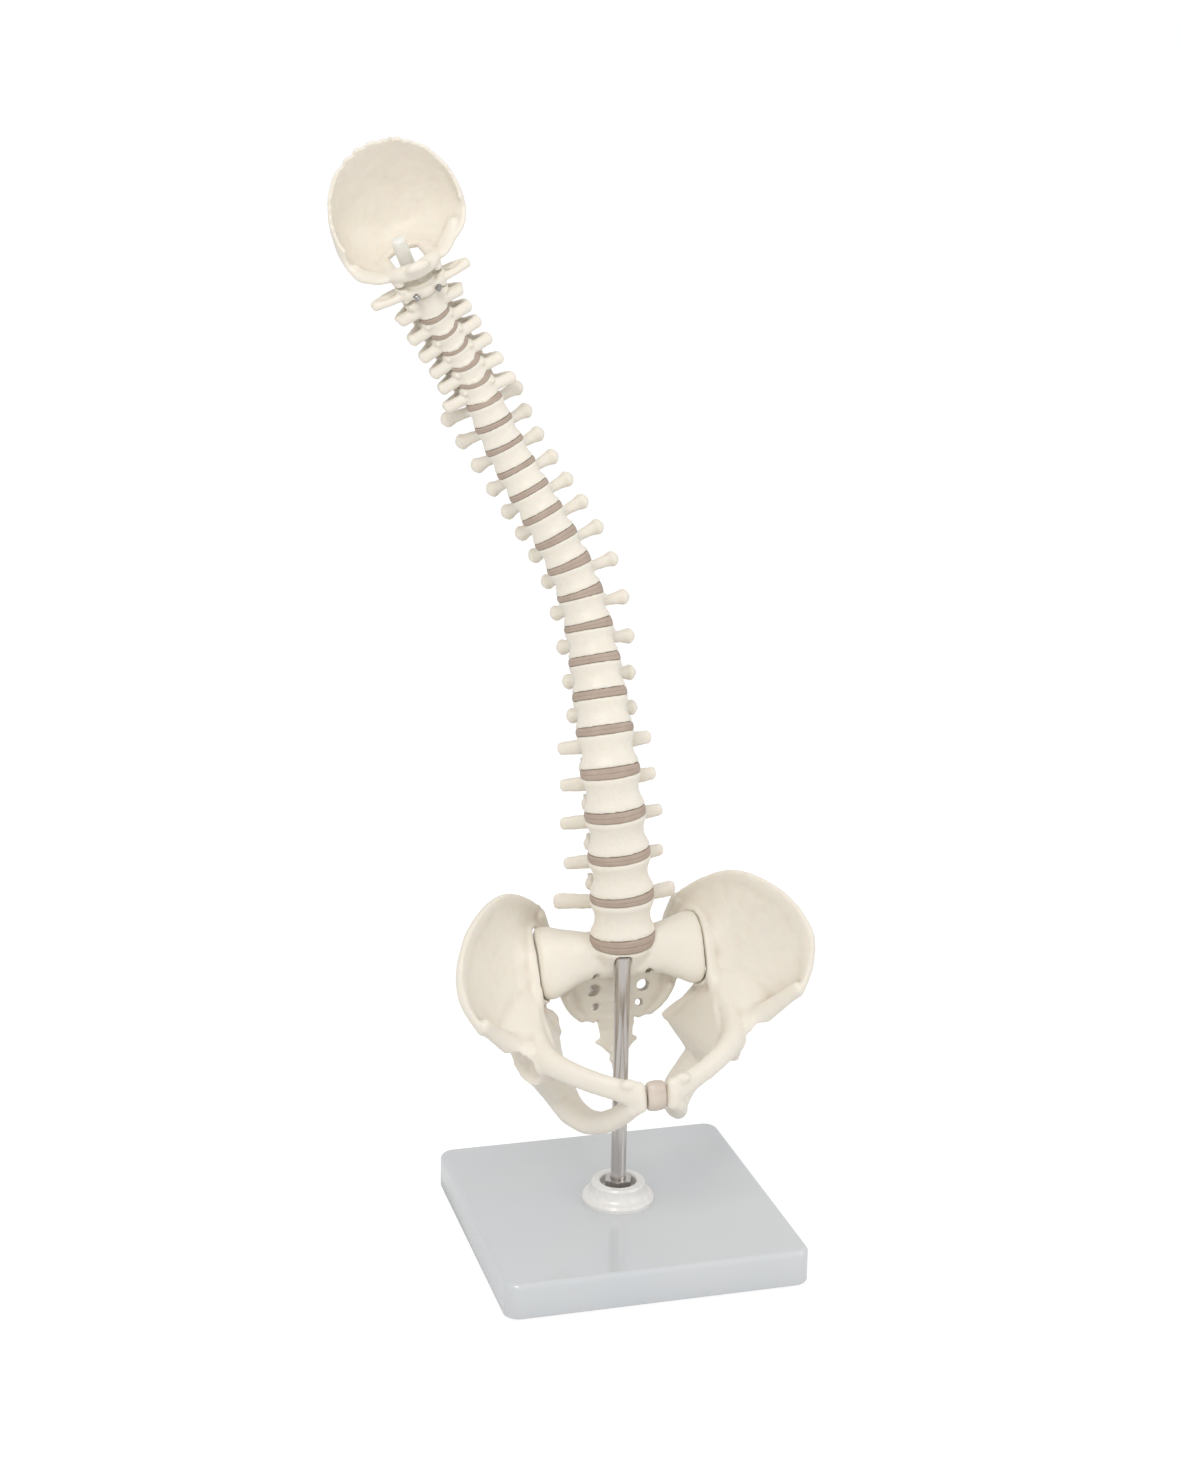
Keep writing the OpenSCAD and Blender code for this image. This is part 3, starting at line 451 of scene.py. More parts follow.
STEEL, nt, b = material("rod_steel", (0.56, 0.53, 0.51), 0.2, Metallic=1.0)
# Painted reflection over real grain: streaks along the rod, lighter and darker in colour, stand in for the reflection
# bands; the same streaks vary the roughness.
tc = node(nt, "ShaderNodeTexCoord")
mpn = node(nt, "ShaderNodeMapping")
mpn.inputs["Scale"].default_value = (900, 900, 14)
nt.links.new(tc.outputs["Object"], mpn.inputs["Vector"])
n1 = node(nt, "ShaderNodeTexNoise")
n1.inputs["Scale"].default_value = 1.0
n1.inputs["Detail"].default_value = 3
nt.links.new(mpn.outputs["Vector"], n1.inputs["Vector"])
r1 = ramp(nt, n1.outputs["Fac"], [(0.3, (0.50, 0.47, 0.45)), (0.7, (0.62, 0.59, 0.57))])
nt.links.new(r1.outputs["Color"], b.inputs["Base Color"])
r2 = ramp(nt, n1.outputs["Fac"], [(0.3, (0.14,) * 3), (0.7, (0.26,) * 3)])
nt.links.new(r2.outputs["Color"], b.inputs["Roughness"])
bump(nt, b, n1.outputs["Fac"], 0.08, 0.0002)

WIRE, nt, b = material("spring_steel", (0.40, 0.39, 0.38), 0.3, Metallic=1.0)
n1 = noise_node(nt, 2500, 3, 0.5)
r1 = ramp(nt, n1.outputs["Fac"], [(0.35, (0.26, 0.25, 0.24)), (0.65, (0.55, 0.54, 0.53))])
nt.links.new(r1.outputs["Color"], b.inputs["Base Color"])


def dress(ob, mat, body=None, replaces=None):
    ob.data.materials.clear()
    ob.data.materials.append(mat)
    if body:
        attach(ob, body)
    if replaces:
        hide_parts(*([replaces] if isinstance(replaces, str) else replaces))
    return ob


# ---------------------------------------------------------------- vertebrae
def ring(w, d, hollow, z, n=56, lift=0.0):
    a = np.linspace(0, 2 * np.pi, n, endpoint=False)
    s = np.sin(a)
    y = d / 2 * np.where(s > 0, s * (1 - hollow * s * s), s)
    return np.stack([w / 2 * np.cos(a), y, z + lift * np.abs(np.cos(a)) ** 3], 1)


def rise(i):
    """How far the side rims stand up on the upper face of body i: only in the neck."""
    return 1.25 if 18 <= i <= 21 else 0.45 if i == 22 else 0.0


def face(i, upper):
    """Width, depth, height and side rise of one end face of body i."""
    w, d = body_w(i), body_d(i)
    if i > 17:
        w *= 0.925 if upper else 0.945
    elif upper:
        w *= 0.98
    out = 0.4 if i <= 5 else 0.0
    return w, d * (0.98 if upper else 1), body_h(i) + out if upper else -out, \
        rise(i) if upper else rise(i - 1) if i <= 22 else 0.0


def trimmed(part, m, low_y):
    """What lies behind low_y in the frame m."""
    ob = mesh_object("trim", part)
    box = [[(x, y, z) for x, y in ((-40, -40), (40, -40), (40, low_y), (-40, low_y))] for z in (-40, 50)]
    tool = mesh_object("trim_tool", placed(loft(box), m))
    ob.modifiers.new("weld", "WELD").merge_threshold = 0.001 * MM
    mod = ob.modifiers.new("trim", "BOOLEAN")
    mod.operation = "DIFFERENCE"
    mod.object = tool
    mod.solver = "EXACT"
    me = bpy.data.meshes.new_from_object(ob.evaluated_get(bpy.context.evaluated_depsgraph_get()))
    out = coords(me) / MM, [tuple(p.vertices) for p in me.polygons]
    for q in (ob, tool):
        bpy.data.objects.remove(q)
    bpy.data.meshes.remove(me)
    return out


def body_form(i):
    """The drum of a vertebral body: waisted, with a rim round each end."""
    dn = dent(i)
    low_w, low_d, low_z, low_rise = face(i, False)
    high_w, high_d, high_z, high_rise = face(i, True)
    waist = lookup(i, [(1, 0.855), (10, 0.87), (18, 0.93), (23, 0.93)])
    prof = [(0.0, 0.972), (0.03, 0.995), (0.08, 1.0), (0.14, 0.985), (0.24, 0.93), (0.36, 0.885),
            (0.5, 0.86), (0.64, 0.885), (0.76, 0.93), (0.86, 0.985), (0.92, 1.0), (0.97, 0.995), (1.0, 0.972)]
    rings = []
    for u, k in prof:
        k = 1 - (1 - k) * (1 - waist) / 0.14 if 0.1 < u < 0.9 else k
        rings.append(ring((low_w + (high_w - low_w) * u) * k, (low_d + (high_d - low_d) * u) * k, dn,
                          low_z + (high_z - low_z) * u, lift=low_rise * (1 - u) ** 2 + high_rise * u * u))
    if i == 23:
        rings = [ring((low_w - 3 * u) * k, (low_d - 1.6 * u) * k, dn, high_z * u) for u, k in prof[:-1]]
    return loft(rings)


def vertebra(i):
    m = FRAME[i]
    h, r, y = body_h(i), canal_r(i), canal_y(i)
    back = y + r
    plain = cad(bone_name(i))
    if 18 <= i <= 22:
        plain = trimmed(plain, m, y - r - 0.5)
    parts = [plain, placed(body_form(i), m)]
    extra = []
    if i <= 5:
        half = [24.4, 20, 20.4, 19, 18.4][i - 1]
        z0, z1 = h * 0.60, h * (0.72 if i == 1 else 0.62)
        extra.append(limb([[r + 2, y, z0, 1.7, 3.1], [half - 6, y + 0.9, (z0 + z1) / 2, 1.6, 2.9],
                           [half - 1.7, y + 1.2, z1, 1.5, 2.5 if i > 1 else 3.4]]))
        extra.append(ball((r + 5.2, back + 0.4, h + 0.2), (1.3, 2.0, 2.4)))
    elif i <= 17:
        half = TP_HALF[i - 1]
        extra.append(limb([[r + 1.4, y + 0.6, h * 0.56, 1.5, 1.9], [half - 5, back + 0.6, h * 0.52, 2.0, 2.4],
                           [half - 2.7, back + 1.5, h * 0.5, 2.9, 3.2]]))
        # Facet for the rib head on the side of the body
        extra.append(ball((body_w(i) * 0.40, body_d(i) * 0.30, h * 0.78), (1.9, 2.0, 1.7)))
    else:
        extra += neck_extra(i, h, r, y)
    for p in extra:
        parts += [placed(p, m), placed(mirrored(p), m)]
    if i <= 17:
        drop = lookup(i, [(1, 5), (5, 8), (6, 15), (8, 35), (10, 56), (13, 55), (15, 42), (17, 12)])
        lng = lookup(i, [(1, 8), (2, 11), (5, 11), (6, 11), (9, 16), (12, 17), (17, 15)])
        if i > 5:
            tip = (0, back + 1.7 + lng * math.cos(math.radians(drop)), h * 0.34 - lng * math.sin(math.radians(drop)))
            parts.append(placed(ball(tip, (1.5, 1.8, 1.9)), m))
    voxel = 0.55 if i <= 5 else 0.46 if i <= 17 else 0.37
    ob = fused("bone_" + LEVEL[i - 1], parts, voxel, 7 if i > 17 else 9, grain=0.10 if i <= 17 else 0.07,
               grain_size=2.0)
    return dress(ob, BONE, bone_name(i), bone_name(i))


def neck_extra(i, h, r, y):
    """Lips, side bars round the artery's opening and pillars, as rounded forms over the plain ones."""
    w, half = body_w(i), TP_HALF[i - 1]
    if i == 24:
        return [limb([[7.4, -0.4, h * 0.5, 2.2, 1.9], [11, -1.0, h * 0.46, 1.5, 1.4], [15.4, 0.4, h * 0.44, 1.5, 1.5],
                      [18.0, 1.6, h * 0.43, 2.0, 1.8]]),
                limb([[7.4, 3.0, h * 0.5, 2.0, 1.8], [11, 4.6, h * 0.48, 1.4, 1.3], [15.4, 3.6, h * 0.45, 1.5, 1.5],
                      [18.0, 2.2, h * 0.43, 2.0, 1.8]]),
                limb([[6.2, -2.2, h * 0.46, 1.6, 1.9], [3.4, -4.2, h * 0.46, 1.2, 1.7], [0, -4.9, h * 0.46, 1.3, 2.0]]),
                limb([[6.8, y, h * 0.5, 1.7, 1.3], [5, y + r - 0.6, h * 0.5, 1.3, 1.2], [0, y + r + 1.7, h * 0.5, 1.3, 1.4]])]
    px, tip = r + 2.5, i == 23
    low = h * (0.30 if tip else 0.36)
    out = [
        # Front bar and back bar, which meet in a gutter at the tip
        limb([[w * 0.38, 0.0, low + 0.6, 2.2, 2.4], [w * 0.5 + 1.0, 0.0, low + 0.4, 1.9, 2.3],
              [half - 3.6, 0.7, low, 1.8, 2.2], [half - 2.5, 1.3, low - 0.2, 2.1, 2.4]]),
        limb([[px - 0.4, y - 1.4, low + 0.4, 1.9, 2.2], [px + 1.8, y - 2.4, low, 1.7, 2.2],
              [half - 2.5, 3.9, low - 0.4, 2.1, 2.1]]),
        limb([[w * 0.34, body_d(i) * 0.26, h * 0.55, 1.8, 1.9], [px, y - 1.5, h * 0.5, 1.8, 1.9]]),
        limb([[px, y - 1.6, h * 0.5 + 0.9, 1.8, 1.6], [px, y - 0.4, h * 0.5, 2.1, 2.0], [px, y + 0.8, h * 0.5 - 0.8, 1.8, 1.6]])]
    if not tip:
        # Lip along the side of the upper face
        out.append(limb([[w * 0.41, -body_d(i) * 0.28, h * 0.84, 0.8, 1.0], [w * 0.46, -0.4, h * 0.92, 0.9, 1.2],
                         [w * 0.45, body_d(i) * 0.26, h * 0.88, 0.9, 1.1]]))
        # Flare of the lower face over the disc below
        out.append(limb([[w * 0.24, -body_d(i) * 0.37, h * 0.12, 0.9, 0.8], [0, -body_d(i) * 0.47, h * 0.06, 0.9, 0.9]]))
    else:
        out.append(ball((6.0, 0.4, h - 2.0), (2.7, 3.2, 1.5)))
    return out


TP_HALF = [24.4, 20, 20.4, 19, 18.4, 14, 14.5, 15.5, 16, 16, 16, 15.8, 15.6, 15.5, 15.5, 16, 17,
           15.4, 14.2, 14, 14, 14, 14, 19.8]
for _i in range(1, 25):
    vertebra(_i)


# ---------------------------------------------------------------- discs, each lofted in two halves between the faces of its two bodies
def disc(i):
    low, up = SACRUM if i == 1 else FRAME[i - 1], FRAME[i]
    w0, d0, z0, lift0 = (25.5, 25.5 * 0.69, 0.0, 0.0) if i == 1 else face(i - 1, True)
    w1, d1, z1, lift1 = face(i, False)
    n, steps = 56, 8
    rings = []
    for j in range(steps + 1):
        u = j / steps
        bulge = 0.99 + 0.026 * max(0, math.sin(math.pi * u)) ** 0.8
        a = at(low, ring(w0 * bulge, d0 * bulge, dent(i), z0 + 0.05, n, lift0))
        b_ = at(up, ring(w1 * bulge, d1 * bulge, dent(i), z1 - 0.05, n, lift1))
        rings.append(a * (1 - u) + b_ * u)
    mid = MID[i][:3, 3] * MM
    lo_c, up_c = at(low, (0, 0, z0))[0] * MM, at(up, (0, 0, z1))[0] * MM
    dbody = "d_" + disc_key(i)
    lower_body = "stand" if i == 1 else bone_name(i - 1)
    halves = []
    for key, part, a, b_, s, e in (("low", rings[:steps // 2 + 1], lower_body, dbody, lo_c, mid),
                                   ("top", rings[steps // 2:], dbody, bone_name(i), mid, up_c)):
        ob = mesh_object("disc_%s_%s" % (disc_key(i), key), loft(part))
        smooth_shade(ob.data)
        bev = [f for f in ob.data.polygons if len(f.vertices) > 4]
        for f in bev:
            f.use_smooth = False
        dress(ob, DISC)
        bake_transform(ob)
        halves.append(ob)
    for ob in halves:
        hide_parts("disc_" + disc_key(i))


for _i in range(1, 24):
    disc(_i)


# ---------------------------------------------------------------- core, in one length per level
def tube_part(rows, sides=20, r=2.7):
    rings = []
    for m, y, z, k in rows:
        a = np.linspace(0, 2 * np.pi, sides, endpoint=False)
        rings.append(at(m, np.stack([r * k * np.cos(a), y + r * k * np.sin(a), np.full(sides, z)], 1)))
    return loft(rings)


tubes = []
for _i in range(1, 25):
    rows = [(FRAME[_i], canal_y(_i), z, 1) for z in np.linspace(0.4 if _i == 24 else -disc_t(_i) / 2 - 0.6, body_h(_i) + disc_t(min(24, _i + 1)) / 2 + 0.6, 5)]
    ob = mesh_object("core_" + LEVEL[_i - 1], tube_part(rows))
    smooth_shade(ob.data)
    dress(ob, TUBE, bone_name(_i))
    tubes.append(ob)
out = SKULL @ move(-0.8, 0, 0)
rows = [(out, canal_y(24) + 0.3, z, k) for z, k in
        ((-5, 1), (0, 1), (3.8, 1), (8, 1), (12.3, 1), (12.85, 0.985), (13.15, 0.93), (13.3, 0.84))]
ob = mesh_object("core_end", tube_part(rows, 28))
smooth_shade(ob.data)
dress(ob, TUBE)
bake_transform(ob)
tubes.append(ob)
low_end = SACRUM
rows = [(low_end, canal_y(1), z, 1) for z in (-8, -4, 0, 2.6)]
ob = mesh_object("core_root", tube_part(rows))
smooth_shade(ob.data)
dress(ob, TUBE, "stand")
tubes.append(ob)
for ob in tubes:
    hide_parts("core_tube")


# ---------------------------------------------------------------- occipital bone
SKULL_X, SKULL_H, SKULL_T, SKULL_Z, SKULL_OFF = 24.2, 40.4, 2.0, 3.8, 3.4
SKULL_Y = canal_y(24)


def skull_point(t, v):
    r = math.radians(t)
    s, c = math.sin(r), math.cos(r)
    p = np.array([7.6 * s, SKULL_Y + 0.4 + 8.2 * c, SKULL_Z])
    q = np.array([SKULL_X * s + SKULL_OFF, SKULL_Y + 6 + 10 * c, SKULL_Z + SKULL_H * (0.44 + 0.56 * c)])
    a = p + np.array([15 * s, 15 * c, -1.5])
    b_ = q + np.array([2.5 * s, 4 + 8 * max(0, c), -(q[2] - 1) * 0.5])
    u = 1 - v
    return u ** 3 * p + 3 * u * u * v * a + 3 * u * v * v * b_ + v ** 3 * q


def skull_normal(t, v):
    n = np.cross(skull_point(t + 2, v) - skull_point(t - 2, v),
                 skull_point(t, min(1, v + 0.1)) - skull_point(t, max(0, v - 0.1)))
    return n / np.linalg.norm(n)


def skull_bowl():
    cols, rows, span = 150, 26, 104
    rings = []
    for k in range(cols + 1):
        t = -span + 2 * span * k / cols
        ragged = 0.0
        if abs(t) < 96:
            ragged = 1.5 * noise.noise(Vector((t * 0.16, 3.1, 0))) + 1.1 * noise.noise(Vector((t * 0.55, 7.7, 0)))
            ragged *= min(1, (96 - abs(t)) / 14)
        outer, inner = [], []
        for j in range(rows + 1):
            v = j / rows
            p, n = skull_point(t, v), skull_normal(t, v)
            edge = (skull_point(t, 1) - skull_point(t, 0.94))
            edge /= np.linalg.norm(edge)
            shift = edge * ragged * max(0, (v - 0.86) / 0.14)
            wall = SKULL_T * (1 - 0.35 * max(0, (v - 0.8) / 0.2) ** 2)
            dome = 0.30 * noise.noise(Vector(p * 0.11)) * min(1, 4 * v * (1 - v))
            outer.append(p + shift)
            inner.append(p + shift + n * (wall + dome))
        rings.append(outer + inner[::-1])
    return loft(rings[::-1])


def skull_base():
    """Condyles, side parts and the bridge ahead of the opening."""
    z = SKULL_Z
    out = []
    for k in (-1, 1):
        out.append(ball((k * 7.4, 1.0, 1.9), (2.3, 4.3, 1.7)))
        out.append(limb([[k * 7.6, SKULL_Y + 5, z + 1.2, 2.2, 1.5], [k * 8.2, 4, z + 0.8, 2.6, 1.9],
                         [k * 7.4, 0, z + 1.2, 3.0, 2.5], [k * 3.8, -3.2, z + 1.6, 3.2, 2.9],
                         [0, -4.4, z + 1.8, 3.4, 2.9]]))
        out.append(limb([[k * 7, 1.5, z + 0.5, 2.8, 1.5], [k * 12, 2.6, z + 0.7, 3.2, 1.6],
                         [k * 17.8, SKULL_Y + 1.4, z + 1.8, 3.0, 1.7], [k * 20 + 0.8, SKULL_Y + 4, z + 5, 2.2, 1.4]]))
    out.append(limb([[0, -3.6, z + 1.6, 5.4, 2.6], [0, -6, z + 3.2, 5.0, 2.3], [0, -8, z + 5.0, 4.2, 1.9]]))
    # Rounded border along both free edges and round the opening
    for t in (-103, 103):
        out.append(limb([[*(skull_point(t, v) + skull_normal(t, v) * 1.0), 1.15 - 0.45 * v * v] for v in np.linspace(0.1, 0.99, 9)]))
    out.append(limb([[*(skull_point(t, 0.04) + skull_normal(t, 0.04) * 1.0), 1.3] for t in np.linspace(-103, 103, 19)]))
    return out


parts = [placed(skull_bowl(), SKULL)] + [placed(q, SKULL) for q in skull_base()]
skull = fused("skull_back", parts, 0.5, 10, grain=0.12, grain_size=4.5, cavity=20)
dress(skull, BONE, "occipital_bone", "occipital_bone")

# ---------------------------------------------------------------- pelvis
PELVIS = move(SPINE_X, 0, 0) @ turn("Z", -3) @ move(0, 0, 104) @ turn("Y", -3.0) @ move(0, 0, -104)
WING_X, CREST_X, CREST_Z = 33.0, 67.0, 146.0


def spline(points, u):
    """A smooth curve through points that are spaced evenly in u."""
    p = np.asarray(points, float)
    n = len(p) - 1
    k = min(n - 1, int(u * n))
    f = u * n - k
    a, b_, c, d = p[max(0, k - 1)], p[k], p[k + 1], p[min(n, k + 2)]
    return 0.5 * (2 * b_ + (c - a) * f + (2 * a - 5 * b_ + 4 * c - d) * f * f + (3 * b_ - a - 3 * c + d) * f ** 3)


WING_IN = [(25, 28, 118), (31, 18, 126), (35.4, 6, 119.5), (35.6, 0.8, 108), (38, -6, 98), (43, -12, 93.4), (48, -16, 91)]
WING_OUT = [(WING_X - 9, 31, 120), (WING_X - 5, 22, CREST_Z - 12), (CREST_X - 23, 6, CREST_Z),
            (CREST_X - 8, -10, CREST_Z - 4), (CREST_X, -23, CREST_Z - 15), (CREST_X, -27, CREST_Z - 28),
            (CREST_X - 6, -31, CREST_Z - 40)]


def wing_sheet():
    cols, rows = 84, 26
    out = np.array([0.70, 0.62, -0.35])
    rings = []
    for k in range(cols + 1):
        u = k / cols
        a, b_ = spline(WING_IN, u), spline(WING_OUT, u)
        front, behind = [], []
        for j in range(rows + 1):
            v = j / rows
            p = a * (1 - v) + b_ * v + 4 * v * (1 - v) * math.sin(math.pi * u) * np.array([2.6, 3.4, -1.2])
            lip = max(0, (v - 0.84) / 0.16)
            swell = 0.9 * math.sin(math.pi * min(1, lip)) ** 1 if lip else 0
            wave = 0.5 * noise.noise(Vector((u * 5.0, 1.7, 0.3))) * lip
            front.append(p - out * (swell * 0.55 + wave * 0.4))
            behind.append(p + out * (2.6 + swell * 1.1 + 0.5 * math.sin(math.pi * v) * math.sin(math.pi * u) + wave))
        rings.append(front + behind[::-1])
    return loft(rings[::-1])


def hull(points):
    import bmesh
    bm = bmesh.new()
    for q in points:
        bm.verts.new(q)
    got = bmesh.ops.convex_hull(bm, input=bm.verts)
    bmesh.ops.delete(bm, geom=[q for q in set(got["geom_interior"] + got["geom_unused"]) if isinstance(q, bmesh.types.BMVert)],
                     context="VERTS")
    bm.verts.index_update()
    part = (np.array([tuple(q.co) for q in bm.verts]), [tuple(w.index for w in f.verts) for f in bm.faces])
    bm.free()
    return part


def hip_parts(side):
    tip = [[24, 13.4, 86, 1.8, 4.2], [19.6, 18, 82.8, 1.2, 2.0]] if side > 0 else [[27, 10, 86, 1.8, 4.2], [24.4, 13, 83, 1.2, 2.0]]
    end = hull([(33.5, 10, 101), (36, 13, 103), (33.4, -4, 100), (34.4, -14.6, 92.4), (33.4, -25, 87), (31, -30, 84.6),
                (28.6, -22, 79.4), (25, 12.5, 75), (29, 10, 66), (27.4, -8, 73), (38, 4, 80), (38, 8, 92), (40, -12, 88)]
               + [tuple(tip[1][:3]), (tip[1][0] + 0.6, tip[1][1] - 0.8, 81)])
    # Floor of the hollow of the wing, which runs on over the border of the inlet
    low = hull([(35, -1, 106), (34, -5, 100), (35, -15, 93), (37.4, -24, 89), (46.6, 0.6, 113), (51.8, -8.9, 106.8),
                (54, -15.6, 100.8), (50.5, -21, 95.5), (44, -4, 100), (46, -10, 92)])
    up, inward = (2.4, 3.6) if side > 0 else (0, 0)
    return [
        wing_sheet(), end, low,
        # Border of the inlet, then the upper branch of the pubis
        limb([[33.6, 16.6, 125.4, 2.2], [34.8, 7, 119.6, 2.6], [34.9, 2.4, 108, 2.9], [35.8, -3, 99, 3.2], [39, -12, 91.6, 5.0, 6.0],
              [36.6, -24, 88.2, 4.6, 5.2], [29, -33, 86.0, 3.7, 4.6], [20, -39.6, 83.4, 3.2, 4.4],
              [12, -44, 81.6, 3.0, 4.8], [6.6, -46.2, 80, 3.0, 5.6]]),
        # Body of the hip bone down to the seat, then the lower branch
        limb([[43, -8, 95, 4.4, 4.8], [40.5, -10, 89, 8.4, 8.4], [36.4, -2.6, 79, 8.0, 8.2], [30.6, 4.6, 68.6, 7.2, 7.4],
              [25.4 - inward / 2, 6.8, 59, 6.4, 7.0], [23.4 - inward, 1, 55.2 + up, 5.8, 6.4],
              [19.6 - inward, -9, 54.4 + up, 4.6, 5.4], [16.4 - inward / 2, -19, 57.4 + up, 3.6, 4.6],
              [12, -33, 65.6 + up, 3.2, 4.8], [7.4, -44, 76.2, 3.3, 5.4]]),
        ball((39.5, -12, 84), (9.6, 9.4, 9.8)),
        ball((43, -17, 90), (6.4, 6.0, 5.6)),
        ball((37, -20, 86.6), (6.0, 6.4, 5.6)),
        # Edge below the front spine
        limb([[60.8, -29.4, 108.4, 2.0, 2.8], [55.4, -23.6, 101.2, 2.2, 3.4], [50.4, -19.4, 95.6, 3.0, 4.0], [46, -17, 91.6, 3.8, 4.4]]),
        # Back edge of the notch, the corner below the joint and the spine that points inwards
        limb([[WING_X - 1.5, 14, 102, 2.6, 3.2], [33.2, 6, 98, 3.0, 4.0], [34, 4, 89, 3.6, 5], [33.6, 4, 80, 4.2, 5]]),
        ball((31.4, 8, 102.4), (3.8, 7.0, 3.6)),
        limb([[33, 4, 92, 3.0, 6.4], [29, 9, 89, 2.4, 6.0]] + tip),
        # Front face of the joint between the two sides, with the tubercle above
        limb([[6.4, -46, 75.4, 3.0, 3.6], [6.2, -46, 80, 2.9, 3.8], [7, -46, 83.6, 2.8, 2.6]]),
        ball((10.4, -46.4, 85.2), (3.2, 2.3, 2.1)),
        # Crest at the back
        limb([[WING_X - 9, 29, 113, 2.4, 3], [WING_X - 7.4, 30, 120, 2.8, 3], [WING_X - 5, 26, 129, 2.4, 3]]),
    ]


def sacral_wing(grow=0.0):
    """The side mass of the first level, which widens like a fan toward the face on the hip bone."""
    rings = []
    for x, y, z, ry, rz, lean in ((4, 8.5, 113, 6.4, 7.4, 0.0), (10, 8.6, 115.6, 7.0, 8.6, 0.06),
                                  (16, 8.8, 115.8, 7.6, 9.6, 0.14), (22, 9, 115, 8.2, 11.2, 0.24),
                                  (27, 9.3, 114.4, 8.7, 13.0, 0.30), (30.2, 9.5, 114.4, 8.9, 12.8, 0.33),
                                  (31.8, 9.5, 114.8, 8.3, 11.8, 0.34), (32.7, 9.5, 115, 6.8, 9.8, 0.34)):
        a = np.linspace(0, 2 * np.pi, 40, endpoint=False)
        c, d = np.cos(a), np.sin(a)
        dz = (rz + grow) * np.sign(d) * np.abs(d) ** 0.8
        rings.append(np.stack([np.full(40, x + grow), y + (ry + grow) * np.sign(c) * np.abs(c) ** 0.85 + lean * dz, z + dz], 1))
    return loft(rings)


CUP = ball((49, -17, 82), (11, 11, 11))
GAP = loft([[(x, y, z) for x, y in ((-20, -70), (3.4, -70), (3.4, -20), (-20, -20))] for z in (50, 110)])
for _side, _name, _piece in ((1, "left_hip_bone", "hip_left"), (-1, "right_hip_bone", "hip_right")):
    flip = (lambda q: q) if _side == 1 else mirrored
    ob = fused(_piece, [placed(flip(q), PELVIS) for q in hip_parts(_side)], 0.62, 26, grain=0.14, grain_size=5,
               cavity=24, cuts=[placed(flip(q), PELVIS) for q in (CUP, GAP, sacral_wing(0.45))])
    dress(ob, BONE, "stand", _name)


def sacral_plate():
    """The fused lower levels: hollow in front, with a low ridge where two levels meet."""
    rings = []
    for k in range(61):
        z = 114 - 44.5 * k / 60
        half = lookup(-z, [(-114, 15), (-110, 17), (-104, 17.6), (-97, 17.6), (-91, 17), (-86.4, 15.4), (-84.2, 12.6),
                           (-82.6, 8.2), (-80, 7.0), (-76.4, 6.6), (-73.8, 7.6), (-71.6, 5.4), (-69.5, 3.6)])
        deep = lookup(-z, [(-114, 13), (-106, 11), (-97, 9), (-88, 8), (-79, 6.6), (-72, 5), (-69.5, 4)])
        mid = lookup(-z, [(-114, 10.6), (-106, 13), (-97, 17), (-88, 20), (-79, 21), (-72, 19.6), (-69.5, 18.8)])
        ridge = sum(math.exp(-((z - q) / 0.9) ** 2) for q in (102.6, 93.4, 85, 78))
        a = np.linspace(0, 2 * np.pi, 64, endpoint=False)
        c, d = np.cos(a), np.sin(a)
        y = mid + np.where(d < 0, deep * 0.5 * d * (0.86 + 0.14 * np.abs(c)) - 0.45 * ridge * np.exp(-(c * half / 6) ** 2),
                           deep * 0.62 * d)
        y = y - 1.6 * np.abs(c) ** 3
        rings.append(np.stack([half * c, y, np.full(64, z)], 1))
    return loft(rings[::-1])


head = []
for z, k in ((-13, 0.74), (-9, 0.82), (-6, 0.88), (-3.4, 0.94), (-1.8, 0.99), (-1.0, 1.0), (-0.3, 0.99), (0, 0.965)):
    head.append(ring(25.5 * k, 25.5 * 0.69 * k, dent(1), z))
parts = [placed(loft(head), SACRUM), placed(sacral_plate(), PELVIS)]
for q in (sacral_wing(),
          limb([[8, 24, 111, 2.4, 3], [10, 26, 103, 2.6, 3], [8.6, 26.6, 94, 2.2, 3], [6, 26, 85, 1.6, 2]]),
          limb([[10, 14, 121, 2, 2.2], [10.4, 17.6, 120, 2.4, 2.6], [9, 22, 114, 2.6, 3.4]]),
          limb([[3, 19.4, 73.6, 1.5], [8.0, 19.6, 74.2, 1.1]]),
          hull([(26, 11, 104.4), (26, 17, 104), (19.4, 14.4, 91), (18.6, 20, 91), (13.6, 18, 85.4), (12.4, 23, 86),
                (8, 24, 96), (16, 24, 111), (10, 13, 107), (16, 12, 108)]),
          limb([[21, 14, 99, 2.6, 4], [18.6, 16.6, 91, 2.0, 3.0], [13.6, 19, 85.4, 1.8, 2.2]])):
    parts += [placed(q, PELVIS), placed(mirrored(q), PELVIS)]
for q in (limb([[0, 24.6, 112, 2.2, 3], [0, 27.6, 103, 2.4, 3], [0, 28, 94, 2.2, 3], [0, 26, 84, 1.6, 2]]),
          ball((0, 18.6, 70.6), (4.2, 2.5, 2.6)), ball((-0.4, 17.6, 67.2), (3.3, 2.1, 2.3)),
          ball((-0.6, 16.4, 64.2), (2.5, 1.7, 2.0)), ball((-0.6, 15.2, 61.8), (1.7, 1.3, 1.5)),
          ball((0, 30.4, 106), (1.3, 1.8, 2.2)), ball((0, 31, 97), (1.2, 1.8, 2.0)), ball((0, 30, 88.6), (1.1, 1.5, 1.8))):
    parts.append(placed(q, PELVIS))


def rod_cut(radius, low_z, high_z, m=np.eye(4), sides=48):
    w = np.linspace(0, 2 * np.pi, sides, endpoint=False)
    return placed(loft([np.stack([radius * np.cos(w), radius * np.sin(w), np.full(sides, z)], 1)
                        for z in (low_z, high_z)]), m)


